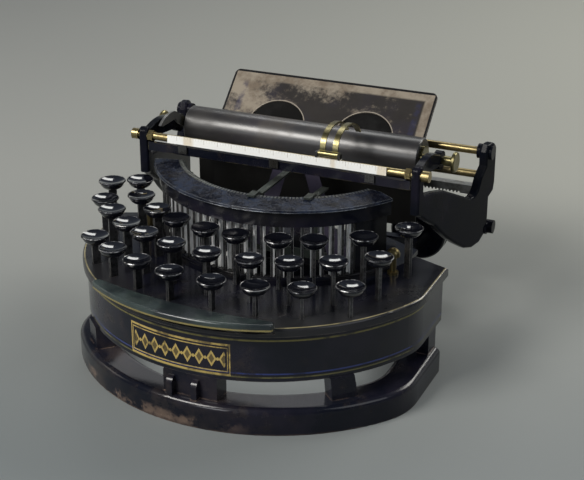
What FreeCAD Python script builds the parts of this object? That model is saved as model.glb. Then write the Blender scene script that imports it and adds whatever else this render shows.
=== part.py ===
import FreeCAD, Part
import math
import os
import re
import Sketcher

# A small front-strike typewriter with a curved three-row keyboard. Millimetres, +Z up.
# X runs to the typist's right and Y away from the typist; the base rests on Z = 0.
# Typebars hang like a fence round the printing point, and each key's plunger pulls its
# own bar up to the platen through an arm and an upright link.

os.makedirs("parts", exist_ok=True)
doc = FreeCAD.newDocument("curved_keyboard_typewriter")

# ---------------------------------------------------------------- driving dimensions
DRIVING = [
    # base ring
    ("base_front_y", 12.0), ("base_radius", 171.0), ("base_half_width", 149.0), ("base_corner", 60.0),
    ("base_side_end", 2.0), ("base_neck_half", 92.0), ("base_neck_y", 59.0), ("base_rear_y", 146.0),
    ("base_rear_corner", 28.0), ("base_band", 28.0), ("base_height", 22.0), ("base_round", 5.0),
    # deck and apron
    ("deck_x", -2.5), ("deck_front_y", 5.0), ("deck_radius", 159.0), ("deck_half_width", 151.0),
    ("deck_corner", 60.0), ("deck_side_end", 17.0), ("deck_tail_half", 118.5), ("deck_rear_y", 30.0),
    ("deck_top", 87.5), ("deck_lip", 7.0), ("deck_plate", 3.0), ("deck_rim_band", 16.0),
    ("lip_round", 2.5), ("apron_foot", 41.0), ("apron_inset", 3.5), ("apron_wall", 2.0),
    # keyboard
    ("keyboard_y", 72.0), ("front_row_radius", 199.4), ("middle_row_radius", 176.4),
    ("rear_row_radius", 149.2), ("front_row_top", 112.5), ("middle_row_top", 123.6),
    ("rear_row_top", 130.0), ("shift_key_radius", 168.2), ("cap_radius", 11.5), ("cap_height", 7.2),
    ("cap_foot_radius", 4.6), ("cap_dish", 2.2), ("rim_wall", 0.9), ("rim_height", 1.3),
    ("stem_width", 7.0), ("stem_thick", 2.4), ("stem_gap", 0.4), ("key_dip", 8.0), ("arm_height", 4.5),
    ("arm_thick", 1.6), ("arm_gap", 0.5), ("arm_tail", 3.6), ("arm_nose", 0.9),
    # typebar fan
    ("basket_y", 50.0), ("fan_radius", 107.3), ("fan_first", -60.0), ("fan_last", 46.0),
    ("fan_count", 27.0), ("pivot_height", 139.5), ("wire_radius", 0.9), ("wire_gap", 0.15),
    ("bar_thick", 1.8), ("bar_depth", 4.4), ("bar_tip_gap", 3.6), ("heel_length", 5.2),
    ("hub_radius", 2.7), ("head_size", 6.0), ("link_radius", 114.2), ("link_width", 2.0),
    ("link_thick", 1.1), ("hook_reach", 2.6), ("hook_thick", 0.8), ("hook_gap", 1.2), ("bar_slot", 3.2),
    ("hanger_inner", 102.5), ("hanger_outer", 117.0), ("hanger_foot", 134.5), ("hanger_top", 146.8),
    ("comb_inner", 110.4), ("comb_flange", 121.0), ("comb_foot", 84.8), ("deck_hole_gap", 0.5),
    ("fence_limit_y", 0.5), ("cover_inner", 95.0), ("cover_outer", 121.0), ("cover_thick", 3.0),
    ("cover_rise", 2.4),
    # space bar
    ("space_radius", 167.0), ("space_width", 20.0), ("space_angle", -5.0), ("space_span", 28.5),
    ("space_foot", 89.3), ("space_thick", 5.4), ("space_dip", 5.0), ("space_post_radius", 2.0),
    ("space_post_circle", 150.2), ("space_post_angle", 9.0), ("recess_depth", 4.2), ("recess_gap", 1.2),
    # carriage
    ("platen_y", 64.7), ("platen_height", 160.6), ("platen_radius", 16.6), ("platen_length", 215.0),
    ("axle_radius", 3.0), ("running_gap", 0.05), ("knob_radius", 8.8), ("knob_length", 11.0),
    ("knob_start", 126.0), ("knob_rim", 3.2), ("knob_hub", 4.2), ("eye_radius", 8.0),
    ("eye_width", 6.0), ("eye_x", 121.5), ("plate_front_x", 122.5), ("plate_front_y", 6.3),
    ("plate_rear_x", 145.8), ("plate_rear_y", 125.2), ("plate_thick", 8.0), ("upright_extra", 2.0),
    ("plate_round", 2.2), ("front_rod_height", 167.4), ("front_rod_radius", 3.2),
    ("front_rod_half", 133.0), ("top_rod_y", 125.2), ("top_rod_height", 151.0), ("mid_rod_y", 121.0),
    ("mid_rod_height", 131.0), ("rear_rod_radius", 3.4), ("rail_y", 121.0), ("rail_height", 117.0),
    ("rail_size", 8.0), ("rail_half", 140.0), ("scale_half", 98.0), ("scale_height", 6.6),
    ("scale_foot", 165.0), ("scale_thick", 1.4), ("beam_foot", 155.0), ("beam_height", 7.6),
    ("beam_front_y", 3.4), ("beam_depth", 6.4), ("table_top_y", 135.5), ("table_top_z", 193.7),
    ("table_half", 96.5), ("table_drop", 60.0), ("table_lean", 42.5), ("table_thick", 2.0),
    ("pan_y", 84.5), ("pan_foot", 88.0), ("arch_radius", 26.8), ("arch_half", 24.5), ("arch_x", 41.5),
    ("arch_drop", 43.0), ("arch_foot", 54.0), ("arch_depth", 1.2), ("roller_radius", 6.0),
    ("roller_gap", 0.3), ("roller_angle", -60.0), ("roller_shaft", 1.8), ("finger_y", 4.5),
    ("finger_z", 174.9), ("finger_pin", 1.2), ("finger_hub", 2.6), ("finger_x", 39.8),
    ("finger_width", 4.5), ("finger_pitch", 11.0), ("finger_thick", 1.3), ("finger_reach", 53.0),
    ("finger_crown_y", 7.5), ("finger_crown_z", 15.1), ("finger_end_z", 4.0), ("finger_bend", 15.0),
    ("finger_bow", 38.0), ("carriage_travel", 75.0),
    # rear frame, rack and drum
    ("column_half", 30.0), ("column_front_y", 110.0), ("column_rear_y", 134.0), ("shelf_top", 62.0),
    ("shelf_thick", 4.0), ("shelf_half", 96.0), ("slide_gap", 0.06), ("tooth_pitch", 3.2),
    ("tooth_depth", 1.5), ("pinion_teeth", 16.0), ("pinion_x", 41.0), ("pinion_gap", 0.25),
    ("spool_x", 68.0), ("spool_y", 60.0), ("spool_radius", 19.0), ("spool_height", 15.0),
    ("ribbon_pack", 11.5), ("spool_pin", 2.0), ("ribbon_width", 12.0), ("ribbon_thick", 0.3),
    ("ribbon_y", 47.9), ("ribbon_half", 15.0), ("ribbon_rest", 22.5), ("drum_x", 79.5),
    ("drum_y", 144.0), ("drum_height", 57.0), ("drum_radius", 26.0), ("drum_depth", 13.0),
    ("pin_radius", 3.0), ("bell_radius", 21.0), ("nut_x", 110.7), ("nut_y", -11.2),
    ("nut_height", 110.0), ("nut_radius", 5.5),
]
NAMES = [name for name, number in DRIVING]
sheet = doc.addObject("Spreadsheet::Sheet", "sizes")
for row, (name, number) in enumerate(DRIVING, start=1):
    sheet.set(f"A{row}", name)
    sheet.set(f"B{row}", str(number))
    sheet.setAlias(f"B{row}", name)
doc.recompute()
WORD = re.compile(r"[a-z_]+")


def cells(expression):
    """The expression with every driving dimension written as a cell of the sheet."""
    return WORD.sub(lambda m: "sizes." + m.group(0) if m.group(0) in NAMES else m.group(0), expression)


def size(expression):
    """The number that an expression of driving dimensions has now."""
    return float(sheet.evalExpression(expression))


def bind(thing, **links):
    """Ties properties of a document object to expressions of driving dimensions."""
    for prop, expression in links.items():
        thing.setExpression(prop, cells(expression))
    return thing


# ---------------------------------------------------------------- sketch and feature helpers
def body(name):
    return doc.addObject("PartDesign::Body", name)


def sketch(owner, name, plane="XY_Plane", lift="0"):
    made = owner.newObject("Sketcher::SketchObject", name)
    support = [f for f in owner.Origin.OriginFeatures if f.Role == plane][0]
    made.AttachmentSupport = [(support, "")]
    made.MapMode = "FlatFace"
    made.setExpression(".AttachmentOffset.Base.z", cells(lift))
    return made


def circle(made, x, y, radius):
    index = made.addGeometry(Part.Circle(FreeCAD.Vector(size(x), size(y), 0), FreeCAD.Vector(0, 0, 1),
                                         size(radius)), False)
    hold(made, "DistanceX", (-1, 1, index, 3), x)
    hold(made, "DistanceY", (-1, 1, index, 3), y)
    hold(made, "Radius", (index,), radius)


def hold(made, kind, where, expression):
    number = made.addConstraint(Sketcher.Constraint(kind, *where, size(expression)))
    label = f"c{number}"
    made.renameConstraint(number, label)
    made.setExpression(".Constraints." + label, cells(expression))


def outline(made, corners):
    """A closed outline. A corner is (x, y) or (x, y, radius, turn): then an arc runs to the next corner,
    with its centre on the left of the way (turn 1) or on the right (turn -1)."""
    count = len(corners)
    places = [FreeCAD.Vector(size(c[0]), size(c[1]), 0) for c in corners]
    first = made.GeometryCount
    ends = []
    for i, corner in enumerate(corners):
        start, end = places[i], places[(i + 1) % count]
        if len(corner) == 2:
            made.addGeometry(Part.LineSegment(start, end), False)
            ends.append((1, 2))
            continue
        radius, turn = size(corner[2]), corner[3]
        along = end - start
        left = FreeCAD.Vector(-along.y, along.x, 0).normalize()
        rise = math.sqrt(max(radius ** 2 - along.Length ** 2 / 4, 0))
        centre = (start + end) * 0.5 + left * (turn * rise)
        go, stop = (start, end) if turn > 0 else (end, start)
        low = math.atan2(go.y - centre.y, go.x - centre.x)
        high = math.atan2(stop.y - centre.y, stop.x - centre.x)
        if high < low:
            high += 2 * math.pi
        whole = Part.Circle(centre, FreeCAD.Vector(0, 0, 1), radius)
        made.addGeometry(Part.ArcOfCircle(whole, low, high), False)
        ends.append((1, 2) if turn > 0 else (2, 1))
    for i, corner in enumerate(corners):
        this, following = first + i, first + (i + 1) % count
        made.addConstraint(Sketcher.Constraint("Coincident", this, ends[i][1], following,
                                               ends[(i + 1) % count][0]))
        hold(made, "DistanceX", (-1, 1, this, ends[i][0]), corner[0])
        hold(made, "DistanceY", (-1, 1, this, ends[i][0]), corner[1])
        if len(corner) > 2:
            hold(made, "Radius", (this,), corner[2])


def rectangle(made, x_low, x_high, y_low, y_high):
    outline(made, [(x_low, y_low), (x_high, y_low), (x_high, y_high), (x_low, y_high)])


def pad(owner, made, length, both=False, back=False):
    feature = owner.newObject("PartDesign::Pad", "Pad")
    feature.Profile = made
    feature.setExpression("Length", cells(length))
    feature.SideType = "Symmetric" if both else "One side"
    feature.Reversed = back
    owner.Tip = feature
    return feature


def pocket(owner, made, length, back=False, both=False):
    """A pocket that has to take something away."""
    doc.recompute()
    before = owner.Shape.Volume
    feature = owner.newObject("PartDesign::Pocket", "Pocket")
    feature.Profile = made
    feature.setExpression("Length", cells(length))
    feature.SideType = "Symmetric" if both else "One side"
    feature.Reversed = back
    owner.Tip = feature
    doc.recompute()
    assert owner.Shape.Volume < before - 1e-6, f"{owner.Name}: a pocket cuts nothing"
    return feature


def turn(owner, made, axis="V_Axis", angle="360", both=False):
    feature = owner.newObject("PartDesign::Revolution", "Revolution")
    feature.Profile = made
    feature.ReferenceAxis = (made, [axis])
    feature.setExpression("Angle", cells(angle))
    feature.Midplane = both
    owner.Tip = feature
    return feature


def soften(owner, radius, test):
    """A fillet on every edge of the tip that passes the test."""
    doc.recompute()
    tip = owner.Tip
    names = [f"Edge{i}" for i, edge in enumerate(tip.Shape.Edges, start=1) if test(edge)]
    feature = owner.newObject("PartDesign::Fillet", "Fillet")
    feature.Base = (tip, names)
    feature.setExpression("Radius", cells(radius))
    owner.Tip = feature
    return feature


def block(name, x_low, x_high, y_low, y_high, z_low, z_high):
    made = bind(doc.addObject("Part::Box", name), Length=f"({x_high})-({x_low})",
                Width=f"({y_high})-({y_low})", Height=f"({z_high})-({z_low})")
    made.setExpression("Placement.Base.x", cells(x_low))
    made.setExpression("Placement.Base.y", cells(y_low))
    made.setExpression("Placement.Base.z", cells(z_low))
    return made


DIRECTIONS = {"x": FreeCAD.Vector(1, 0, 0), "y": FreeCAD.Vector(0, 1, 0), "z": FreeCAD.Vector(0, 0, 1)}


def rod(name, radius, start, length, along="x"):
    """A round bar that starts at the three expressions of start and runs along an axis."""
    made = bind(doc.addObject("Part::Cylinder", name), Radius=radius, Height=length)
    lie = FreeCAD.Rotation(DIRECTIONS["z"], DIRECTIONS[along])
    made.Placement = FreeCAD.Placement(FreeCAD.Vector(), lie)
    for letter, expression in zip("xyz", start):
        made.setExpression("Placement.Base." + letter, cells(expression))
    return made


def fuse(name, shapes):
    made = doc.addObject("Part::MultiFuse", name)
    made.Shapes = shapes
    return made


def cut(name, base, tools):
    made = doc.addObject("Part::Cut", name)
    made.Base = base
    made.Tool = tools[0] if len(tools) == 1 else group(name + "_tools", tools)
    return made


def group(name, links):
    made = doc.addObject("Part::Compound", name)
    made.Links = links
    return made


def flipped(name, source):
    """The mirror image of a part in the plane X = 0."""
    made = doc.addObject("Part::Mirroring", name)
    made.Source = source
    made.Normal = DIRECTIONS["x"]
    return made


SUBPARTS = []


def subpart(thing, label):
    thing.Label = label
    SUBPARTS.append(thing)
    return thing


def at_height(level):
    return lambda edge: abs(edge.BoundBox.ZMin - level) < 1e-4 and abs(edge.BoundBox.ZMax - level) < 1e-4


def polar(radius, angle, y_centre):
    """A point on a circle round (0, y_centre), its angle counted from the front towards +X."""
    turned = math.radians(angle)
    return FreeCAD.Vector(radius * math.sin(turned), y_centre - radius * math.cos(turned), 0)


# ---------------------------------------------------------------- front outlines
def front_curve(x, y, radius, half, corner):
    """Corners of a curved front between two straight sides, from the left side to the right side."""
    reach = f"sqrt(({radius}-{corner})^2-({half}-{corner})^2)"
    side = f"({y}-{reach})"
    meet_x = f"({radius}*({half}-{corner})/({radius}-{corner}))"
    meet_y = f"({y}-{radius}*{reach}/({radius}-{corner}))"
    return [(f"{x}-{half}", side, corner, 1), (f"{x}-{meet_x}", meet_y, radius, 1),
            (f"{x}+{meet_x}", meet_y, corner, 1), (f"{x}+{half}", side)]


def base_outline(inset):
    """The base in plan: a curved front, sides that draw in behind it, and a narrower tail."""
    half = f"(base_half_width-{inset})"
    neck = f"(base_neck_half-{inset})"
    slant = f"(atan((base_neck_y-base_side_end)/(base_half_width-base_neck_half))/2deg)"
    back = f"({inset}*tan(45-{slant}))"
    tail_corner = f"(base_rear_corner-{inset}*0.6)"
    rear = f"(base_rear_y-{inset})"
    front = front_curve("0", "base_front_y", f"(base_radius-{inset})", half, f"(base_corner-{inset}*0.6)")
    right = [(half, f"base_side_end-{back}"), (neck, f"base_neck_y-{back}"),
             (neck, f"{rear}-{tail_corner}", tail_corner, 1), (f"{neck}-{tail_corner}", rear)]
    left = [("-(" + x[0] + ")", x[1]) for x in reversed(right)]
    left[0] = left[0] + (tail_corner, 1)
    left[1] = left[1][:2]
    return front + right + left


def deck_outline(inset):
    """The deck in plan: a curved front, straight sides and two cropped rear corners."""
    half = f"(deck_half_width-{inset})"
    front = front_curve("deck_x", "deck_front_y", f"(deck_radius-{inset})", half, f"(deck_corner-{inset})")
    tail = f"(deck_tail_half-{inset}*0.7)"
    rear = f"(deck_rear_y-{inset})"
    turned = f"(deck_side_end-{inset}*0.7)"
    return front + [(f"deck_x+{half}", turned), (f"deck_x+{tail}", rear),
                    (f"deck_x-{tail}", rear), (f"deck_x-{half}", turned)]


# ---------------------------------------------------------------- base ring
def make_base_ring():
    ring = body("ring")
    plan = sketch(ring, "ring_plan")
    outline(plan, base_outline("0"))
    pad(ring, plan, "base_height")
    hole = sketch(ring, "ring_hole")
    outline(hole, base_outline("base_band"))
    pocket(ring, hole, "base_height", back=True)
    soften(ring, "base_round", at_height(size("base_height")))
    apron_front = "deck_front_y-deck_radius+apron_inset"
    posts = [block("front_block", "deck_x-23", "deck_x+23", apron_front, apron_front + "+16.5",
                   "base_height-base_round", "apron_foot")]
    for name, side in (("left", -1), ("right", 1)):
        posts.append(corner_post(name + "_corner_post", side))
        posts.append(side_post(name + "_side_post", side))
    ears = [ear("left_ear", "-18"), ear("right_ear", "3")]
    base = fuse("base_casting", [ring] + posts + ears)
    return subpart(base, "base_ring")


def corner_post(name, side):
    """A raking web between the ring and the apron, forty-five degrees round from the front."""
    post = body(name)
    profile = sketch(post, name + "_profile", "XZ_Plane")
    foot, top = "base_height-base_round", "apron_foot"
    outline(profile, [("-11", foot), ("11", foot), ("7", top), ("-13", top)])
    pad(post, profile, "14", both=True)
    middle = size("deck_radius-apron_inset-apron_wall/2-4")
    place = polar(middle, 45 * side, size("deck_front_y"))
    place.x += size("deck_x")
    spin = FreeCAD.Rotation(DIRECTIONS["z"], 45 * side)
    post.Placement = FreeCAD.Placement(place, spin)
    return post


def side_post(name, side):
    low, high = sorted((side * 146.5, side * 137.0))
    return block(name, f"{low}+deck_x*{(1 + side) / 2}", f"{high}+deck_x*{(1 + side) / 2}", "-14", "4",
                 "base_height-base_round", "apron_foot")


def ear(name, x):
    """One of two upright ears with rounded tops on the front of the ring."""
    lug = body(name)
    profile = sketch(lug, name + "_profile", "YZ_Plane", lift=x)
    front, back = "base_front_y-base_radius+3", "base_front_y-base_radius+16"
    outline(profile, [(front, "base_height-base_round"), (back, "base_height-base_round"),
                      (back, "base_height+10.5", "6.7", 1), (front, "base_height+10.5")])
    pad(lug, profile, "5", both=True)
    return lug


# ---------------------------------------------------------------- keyboard layout
FRONT_ROW = (-36.3, -27.7, -18.6, -8.9, 1.8, 11.8, 22.0, 32.5)
MIDDLE_ROW = (-51.1, -42.9, -32.6, -24.1, -13.9, -2.9, 8.6, 18.6, 29.6, 41.3)
REAR_ROW = (-58.7, -44.6, -31.8, -21.6, -9.6, 1.2, 14.5, 25.2, 40.3, 55.8)
SHIFT_ANGLE = -58.7
LEVELS = {"rear": "(deck_top-deck_plate-arm_gap-arm_height)"}
LEVELS["middle"] = f"({LEVELS['rear']}-key_dip-arm_gap-arm_height)"
LEVELS["front"] = f"({LEVELS['middle']}-key_dip-arm_gap-arm_height)"


def keyboard():
    """Every key as (name, row, angle, radius, top, typebar number or None)."""
    keys = []
    for row, angles in (("front", FRONT_ROW), ("middle", MIDDLE_ROW), ("rear", REAR_ROW)):
        for number, angle in enumerate(angles, start=1):
            name = f"key_{row}_{number}"
            radius = f"{row}_row_radius"
            if (row, number) == ("rear", 1):
                radius = "shift_key_radius-2*cap_radius-1"
            keys.append([name, row, angle, radius, f"{row}_row_top", None])
    keys[-1][0] = "key_right_shift"
    printing = sorted((key for key in keys if key[0] != "key_right_shift"), key=lambda key: key[2])
    for number, key in enumerate(printing):
        key[5] = number
    keys.append(["key_left_shift", "middle", SHIFT_ANGLE, "shift_key_radius", "rear_row_top", None])
    return keys


KEYS = keyboard()
PITCH = "((fan_last-fan_first)/(fan_count-1))"
LEFT_BAR, RIGHT_BAR = 10, 20


def key_place(key):
    place = polar(size(key[3]), key[2], size("keyboard_y"))
    return place, FreeCAD.Rotation(DIRECTIONS["z"], key[2])


def slot_block(key):
    """The opening that a key's plunger runs through."""
    name = key[0] + "_slot"
    slot = bind(doc.addObject("Part::Box", name), Length="stem_thick+2*stem_gap",
                Width="stem_width+2*stem_gap", Height="deck_lip+4")
    place, spin = key_place(key)
    place.z = size("deck_top-deck_lip-2")
    shift = spin.multVec(FreeCAD.Vector(-size("stem_thick/2+stem_gap"), -size("stem_width/2+stem_gap"), 0))
    slot.Placement = FreeCAD.Placement(place + shift, spin)
    return slot


# ---------------------------------------------------------------- deck and apron
def make_deck():
    deck = body("deck")
    top = sketch(deck, "deck_plan", lift="deck_top-deck_lip")
    outline(top, deck_outline("0"))
    pad(deck, top, "deck_lip")
    skirt = sketch(deck, "apron_plan", lift="apron_foot")
    outline(skirt, deck_outline("apron_inset"))
    pad(deck, skirt, "deck_top-deck_lip-apron_foot")
    soften(deck, "lip_round", at_height(size("deck_top")))
    inside = sketch(deck, "apron_inside", lift="apron_foot")
    outline(inside, deck_outline("(apron_inset+apron_wall)"))
    pocket(deck, inside, "deck_top-deck_lip-apron_foot", back=True)
    under = sketch(deck, "plate_underside", lift="deck_top-deck_lip")
    outline(under, deck_outline("deck_rim_band"))
    pocket(deck, under, "deck_lip-deck_plate", back=True)
    hole = sketch(deck, "basket_hole", lift="deck_top-deck_lip")
    circle(hole, "0", "basket_y", "comb_flange-2.5")
    pocket(deck, hole, "deck_lip", back=True)
    rear = sketch(deck, "rear_gap", lift="apron_foot")
    rectangle(rear, "-hanger_outer+4", "hanger_outer-4", "-2", "deck_rear_y+1")
    pocket(deck, rear, "deck_top-deck_lip-apron_foot", back=True)
    recess = sketch(deck, "space_bar_recess", lift="deck_top-recess_depth")
    outline(recess, space_outline("recess_gap"))
    pocket(deck, recess, "recess_depth", back=True)
    slots = [slot_block(key) for key in KEYS] + space_posts("space_hole", "space_post_radius+stem_gap",
                                                            "deck_top-deck_lip-1", "deck_lip+2")
    return subpart(cut("deck_with_slots", deck, slots), "deck_casting")


# ---------------------------------------------------------------- space bar
def space_point(radius, angle):
    return (f"deck_x+({radius})*sin({angle})", f"deck_front_y-({radius})*cos({angle})")


def space_outline(gap):
    """A long crescent that follows the front of the deck, with rounded ends."""
    outer = f"(space_radius+{gap})"
    first = f"(space_angle-space_span-{gap}/3)"
    last = f"(space_angle+space_span+{gap}/3)"
    inner_end = f"(space_radius-space_width*0.42-{gap})"
    inner_middle = f"(space_radius-space_width-{gap})"
    half = f"({inner_end}*sin(space_span+{gap}/3))"
    sag = f"({inner_middle}-{inner_end}*cos(space_span+{gap}/3))"
    inner_radius = f"(({half}^2+{sag}^2)/(2*{sag}))"
    nose = f"(({outer}-{inner_end})*0.52)"
    return [space_point(outer, first) + (outer, 1), space_point(outer, last) + (nose, 1),
            space_point(inner_end, last) + (inner_radius, -1), space_point(inner_end, first) + (nose, 1)]


def space_posts(name, radius, foot, height):
    posts = []
    for side in (-1, 1):
        x, y = space_point("space_post_circle", f"(space_angle+{side}*space_post_angle)")
        posts.append(rod(f"{name}_{'left' if side < 0 else 'right'}", radius, (x, y, foot), height, "z"))
    return posts


def make_space_bar():
    bar = body("space_plate")
    plan = sketch(bar, "space_plan", lift="space_foot")
    outline(plan, space_outline("0"))
    pad(bar, plan, "space_thick")
    soften(bar, "1.6", at_height(size("space_foot+space_thick")))
    posts = space_posts("space_post", "space_post_radius", "space_foot-34", "36")
    return subpart(fuse("space_bar_whole", [bar] + posts), "space_bar")


# ---------------------------------------------------------------- keys
def make_cap():
    """A shallow cup of moulded composition with a dished top; its top edge is at Z = 0."""
    cap = body("key_cap")
    profile = sketch(cap, "cap_profile", "XZ_Plane")
    inner = "cap_radius-rim_wall"
    dish = f"((({inner})^2+cap_dish^2)/(2*cap_dish))"
    outline(profile, [("0", "-cap_height"), ("cap_foot_radius", "-cap_height", "cap_radius*0.61", 1),
                      (inner, "-rim_height"), (inner, "0", dish, -1), ("0", "-cap_dish")])
    turn(cap, profile)
    return cap


def make_rim():
    """The thin metal ring round a key top."""
    rim = body("key_rim")
    profile = sketch(rim, "rim_profile", "XZ_Plane")
    outline(profile, [("cap_radius-rim_wall", "-rim_height"), ("cap_radius", "-rim_height+0.5"),
                      ("cap_radius", "-0.2"), ("cap_radius-rim_wall*0.5", "0.35"),
                      ("cap_radius-rim_wall", "0")])
    turn(rim, profile)
    return rim


HOOK_FOOT = "(hanger_top-hook_gap-hook_thick)"


def make_lever(key):
    """The arm on a plunger's foot, the link that stands on its end, and the hook on top of the link."""
    name, row, angle, radius, top, number = key
    level = LEVELS[row]
    bar_angle = size(f"fan_first+{number}*{PITCH}")
    place, spin = key_place(key)
    target = polar(size("link_radius"), bar_angle, size("basket_y"))
    way = spin.inverted().multVec(target - place)
    lie = FreeCAD.Rotation(DIRECTIONS["z"], math.degrees(math.atan2(way.y, way.x)))
    stand = FreeCAD.Rotation(DIRECTIONS["z"], bar_angle - angle)
    arm = bind(doc.addObject("Part::Box", name + "_arm"), Width="arm_thick", Height="arm_height")
    arm.Length = way.Length + size("arm_tail+arm_nose")
    corner = lie.multVec(FreeCAD.Vector(-size("arm_tail"), -size("arm_thick/2"), size(f"{level}-{top}")))
    arm.Placement = FreeCAD.Placement(corner, lie)
    pieces = [arm]
    corner = way + stand.multVec(FreeCAD.Vector(-size("link_width/2"), -size("link_thick/2"), 0))
    for part, width, foot, height in (
            ("link", "link_thick", f"{level}+arm_height", f"{HOOK_FOOT}-{level}-arm_height"),
            ("hook", "hook_reach", HOOK_FOOT, "hook_thick")):
        made = bind(doc.addObject("Part::Box", f"{name}_{part}"), Length="link_width", Width=width,
                    Height=height)
        made.Placement = FreeCAD.Placement(corner + FreeCAD.Vector(0, 0, size(f"{foot}-{top}")), stand)
        pieces.append(made)
    return pieces


def make_key(key, cap, rim):
    name, row, angle, radius, top, number = key
    foot = LEVELS[row] if number is None else f"({LEVELS[row]}+arm_height)"
    stem = block(name + "_stem", "-stem_thick/2", "stem_thick/2", "-stem_width/2", "stem_width/2",
                 f"{foot}-{top}", "-cap_height")
    lever = [] if number is None else make_lever(key)
    whole = group(name + "_whole", [cap, rim, stem] + lever)
    place, spin = key_place(key)
    place.z = size(top)
    whole.Placement = FreeCAD.Placement(place, spin)
    return subpart(whole, name)


# ---------------------------------------------------------------- typebar basket
def sector(name, inner, outer, foot, height, first, last):
    """Part of a ring round the printing point, between two angles counted from the front."""
    pieces = []
    for part, radius in (("out", outer), ("in", inner)):
        drum = bind(doc.addObject("Part::Cylinder", f"{name}_{part}"), Radius=radius, Height=height,
                    Angle=f"({last})-({first})")
        start = FreeCAD.Rotation(DIRECTIONS["z"], size(first) - 90)
        drum.Placement = FreeCAD.Placement(FreeCAD.Vector(0, size("basket_y"), size(foot)), start)
        pieces.append(drum)
    return cut(name, pieces[0], [pieces[1]])


def radial_box(name, angle, inner, outer, foot, top, width):
    """A box that points away from the printing point at an angle."""
    made = bind(doc.addObject("Part::Box", name), Length=width, Width=f"({outer})-({inner})",
                Height=f"({top})-({foot})")
    spin = FreeCAD.Rotation(DIRECTIONS["z"], angle)
    start = FreeCAD.Vector(-size(width) / 2, -size(outer), 0)
    place = spin.multVec(start) + FreeCAD.Vector(0, size("basket_y"), size(foot))
    made.Placement = FreeCAD.Placement(place, spin)
    return made


def bar_angles():
    return [size(f"fan_first+{number}*{PITCH}") for number in range(round(size("fan_count")))]


LIMIT = "(acos((basket_y-fence_limit_y-0.2)/(fan_radius+3))/1deg)"


def make_basket_frame():
    hanger = sector("hanger", "hanger_inner", "hanger_outer", "hanger_foot", "hanger_top-hanger_foot",
                    f"-{LIMIT}", LIMIT)
    comb = sector("comb", "comb_inner", "comb_flange-3", "comb_foot", "deck_top-comb_foot+2.5",
                  f"-{LIMIT}", LIMIT)
    flange = sector("flange", "comb_flange-4", "comb_flange", "deck_top", "2.5", f"-{LIMIT}", LIMIT)
    wall_top = "hanger_top-deck_top"
    cheek = ("comb_inner-1.4", "comb_inner+2", "deck_top", wall_top)
    left = sector("left_cheek", *cheek, f"-{LIMIT}", "fan_first-1.1")
    right = sector("right_cheek", *cheek, "fan_last+1.9", LIMIT)
    ridge = bind(doc.addObject("Part::Torus", "ridge"), Radius1="comb_flange-3.4", Radius2="1.5",
                 Angle3=f"2*{LIMIT}")
    start = FreeCAD.Rotation(DIRECTIONS["z"], -size(LIMIT) - 90)
    ridge.Placement = FreeCAD.Placement(FreeCAD.Vector(0, size("basket_y"), size("deck_top+2.5")), start)
    whole = fuse("basket_solid", [hanger, comb, flange, left, right, ridge])
    slots = []
    for number, angle in enumerate(bar_angles()):
        outer = "link_radius+link_thick/2+0.5"
        slots.append(radial_box(f"hanger_slot_{number}", angle, "hanger_inner-1", outer, "hanger_foot-1",
                                "hanger_top-1", "bar_slot"))
        slots.append(radial_box(f"comb_slot_{number}", angle, "comb_inner-1", outer, "comb_foot-1",
                                "deck_top+3", "bar_slot"))
    groove = wire("wire_groove", "wire_radius")
    behind = block("basket_trim", "-200", "200", "fence_limit_y", "60", "70", "200")
    return subpart(cut("basket_slotted", whole, slots + [groove, behind]), "basket_frame")


def wire(name, radius):
    """The bent wire that every typebar turns on."""
    made = bind(doc.addObject("Part::Torus", name), Radius1="fan_radius", Radius2=radius,
                Angle3=f"2*{LIMIT}-2.4")
    start = FreeCAD.Rotation(DIRECTIONS["z"], -size(LIMIT) - 90 + 1.2)
    made.Placement = FreeCAD.Placement(FreeCAD.Vector(0, size("basket_y"), size("pivot_height")), start)
    return made


def make_cover():
    """The crescent that closes the top of the fence; its top rises towards the printing point."""
    cover = body("cover")
    profile = sketch(cover, "cover_profile", "XZ_Plane")
    foot = "hanger_top"
    outline(profile, [("cover_inner", foot), ("cover_outer-1.6", foot), ("cover_outer", f"{foot}+1.2"),
                      ("cover_outer-1", f"{foot}+cover_thick"),
                      ("cover_inner+2", f"{foot}+cover_thick+cover_rise"),
                      ("cover_inner", f"{foot}+cover_thick+cover_rise-1")])
    turn(cover, profile, angle="140", both=True)
    place = FreeCAD.Vector(0, size("basket_y"), 0)
    cover.Placement = FreeCAD.Placement(place, FreeCAD.Rotation(DIRECTIONS["z"], -90))
    behind = block("cover_trim", "-200", "200", "fence_limit_y", "200", "100", "200")
    blunt = sector("cover_end", "cover_inner-5", "cover_outer+9", "hanger_top-7", "20", "62.4", "90")
    return subpart(cut("cover_trimmed", cover, [behind, blunt]), "crescent_cover")


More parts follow.
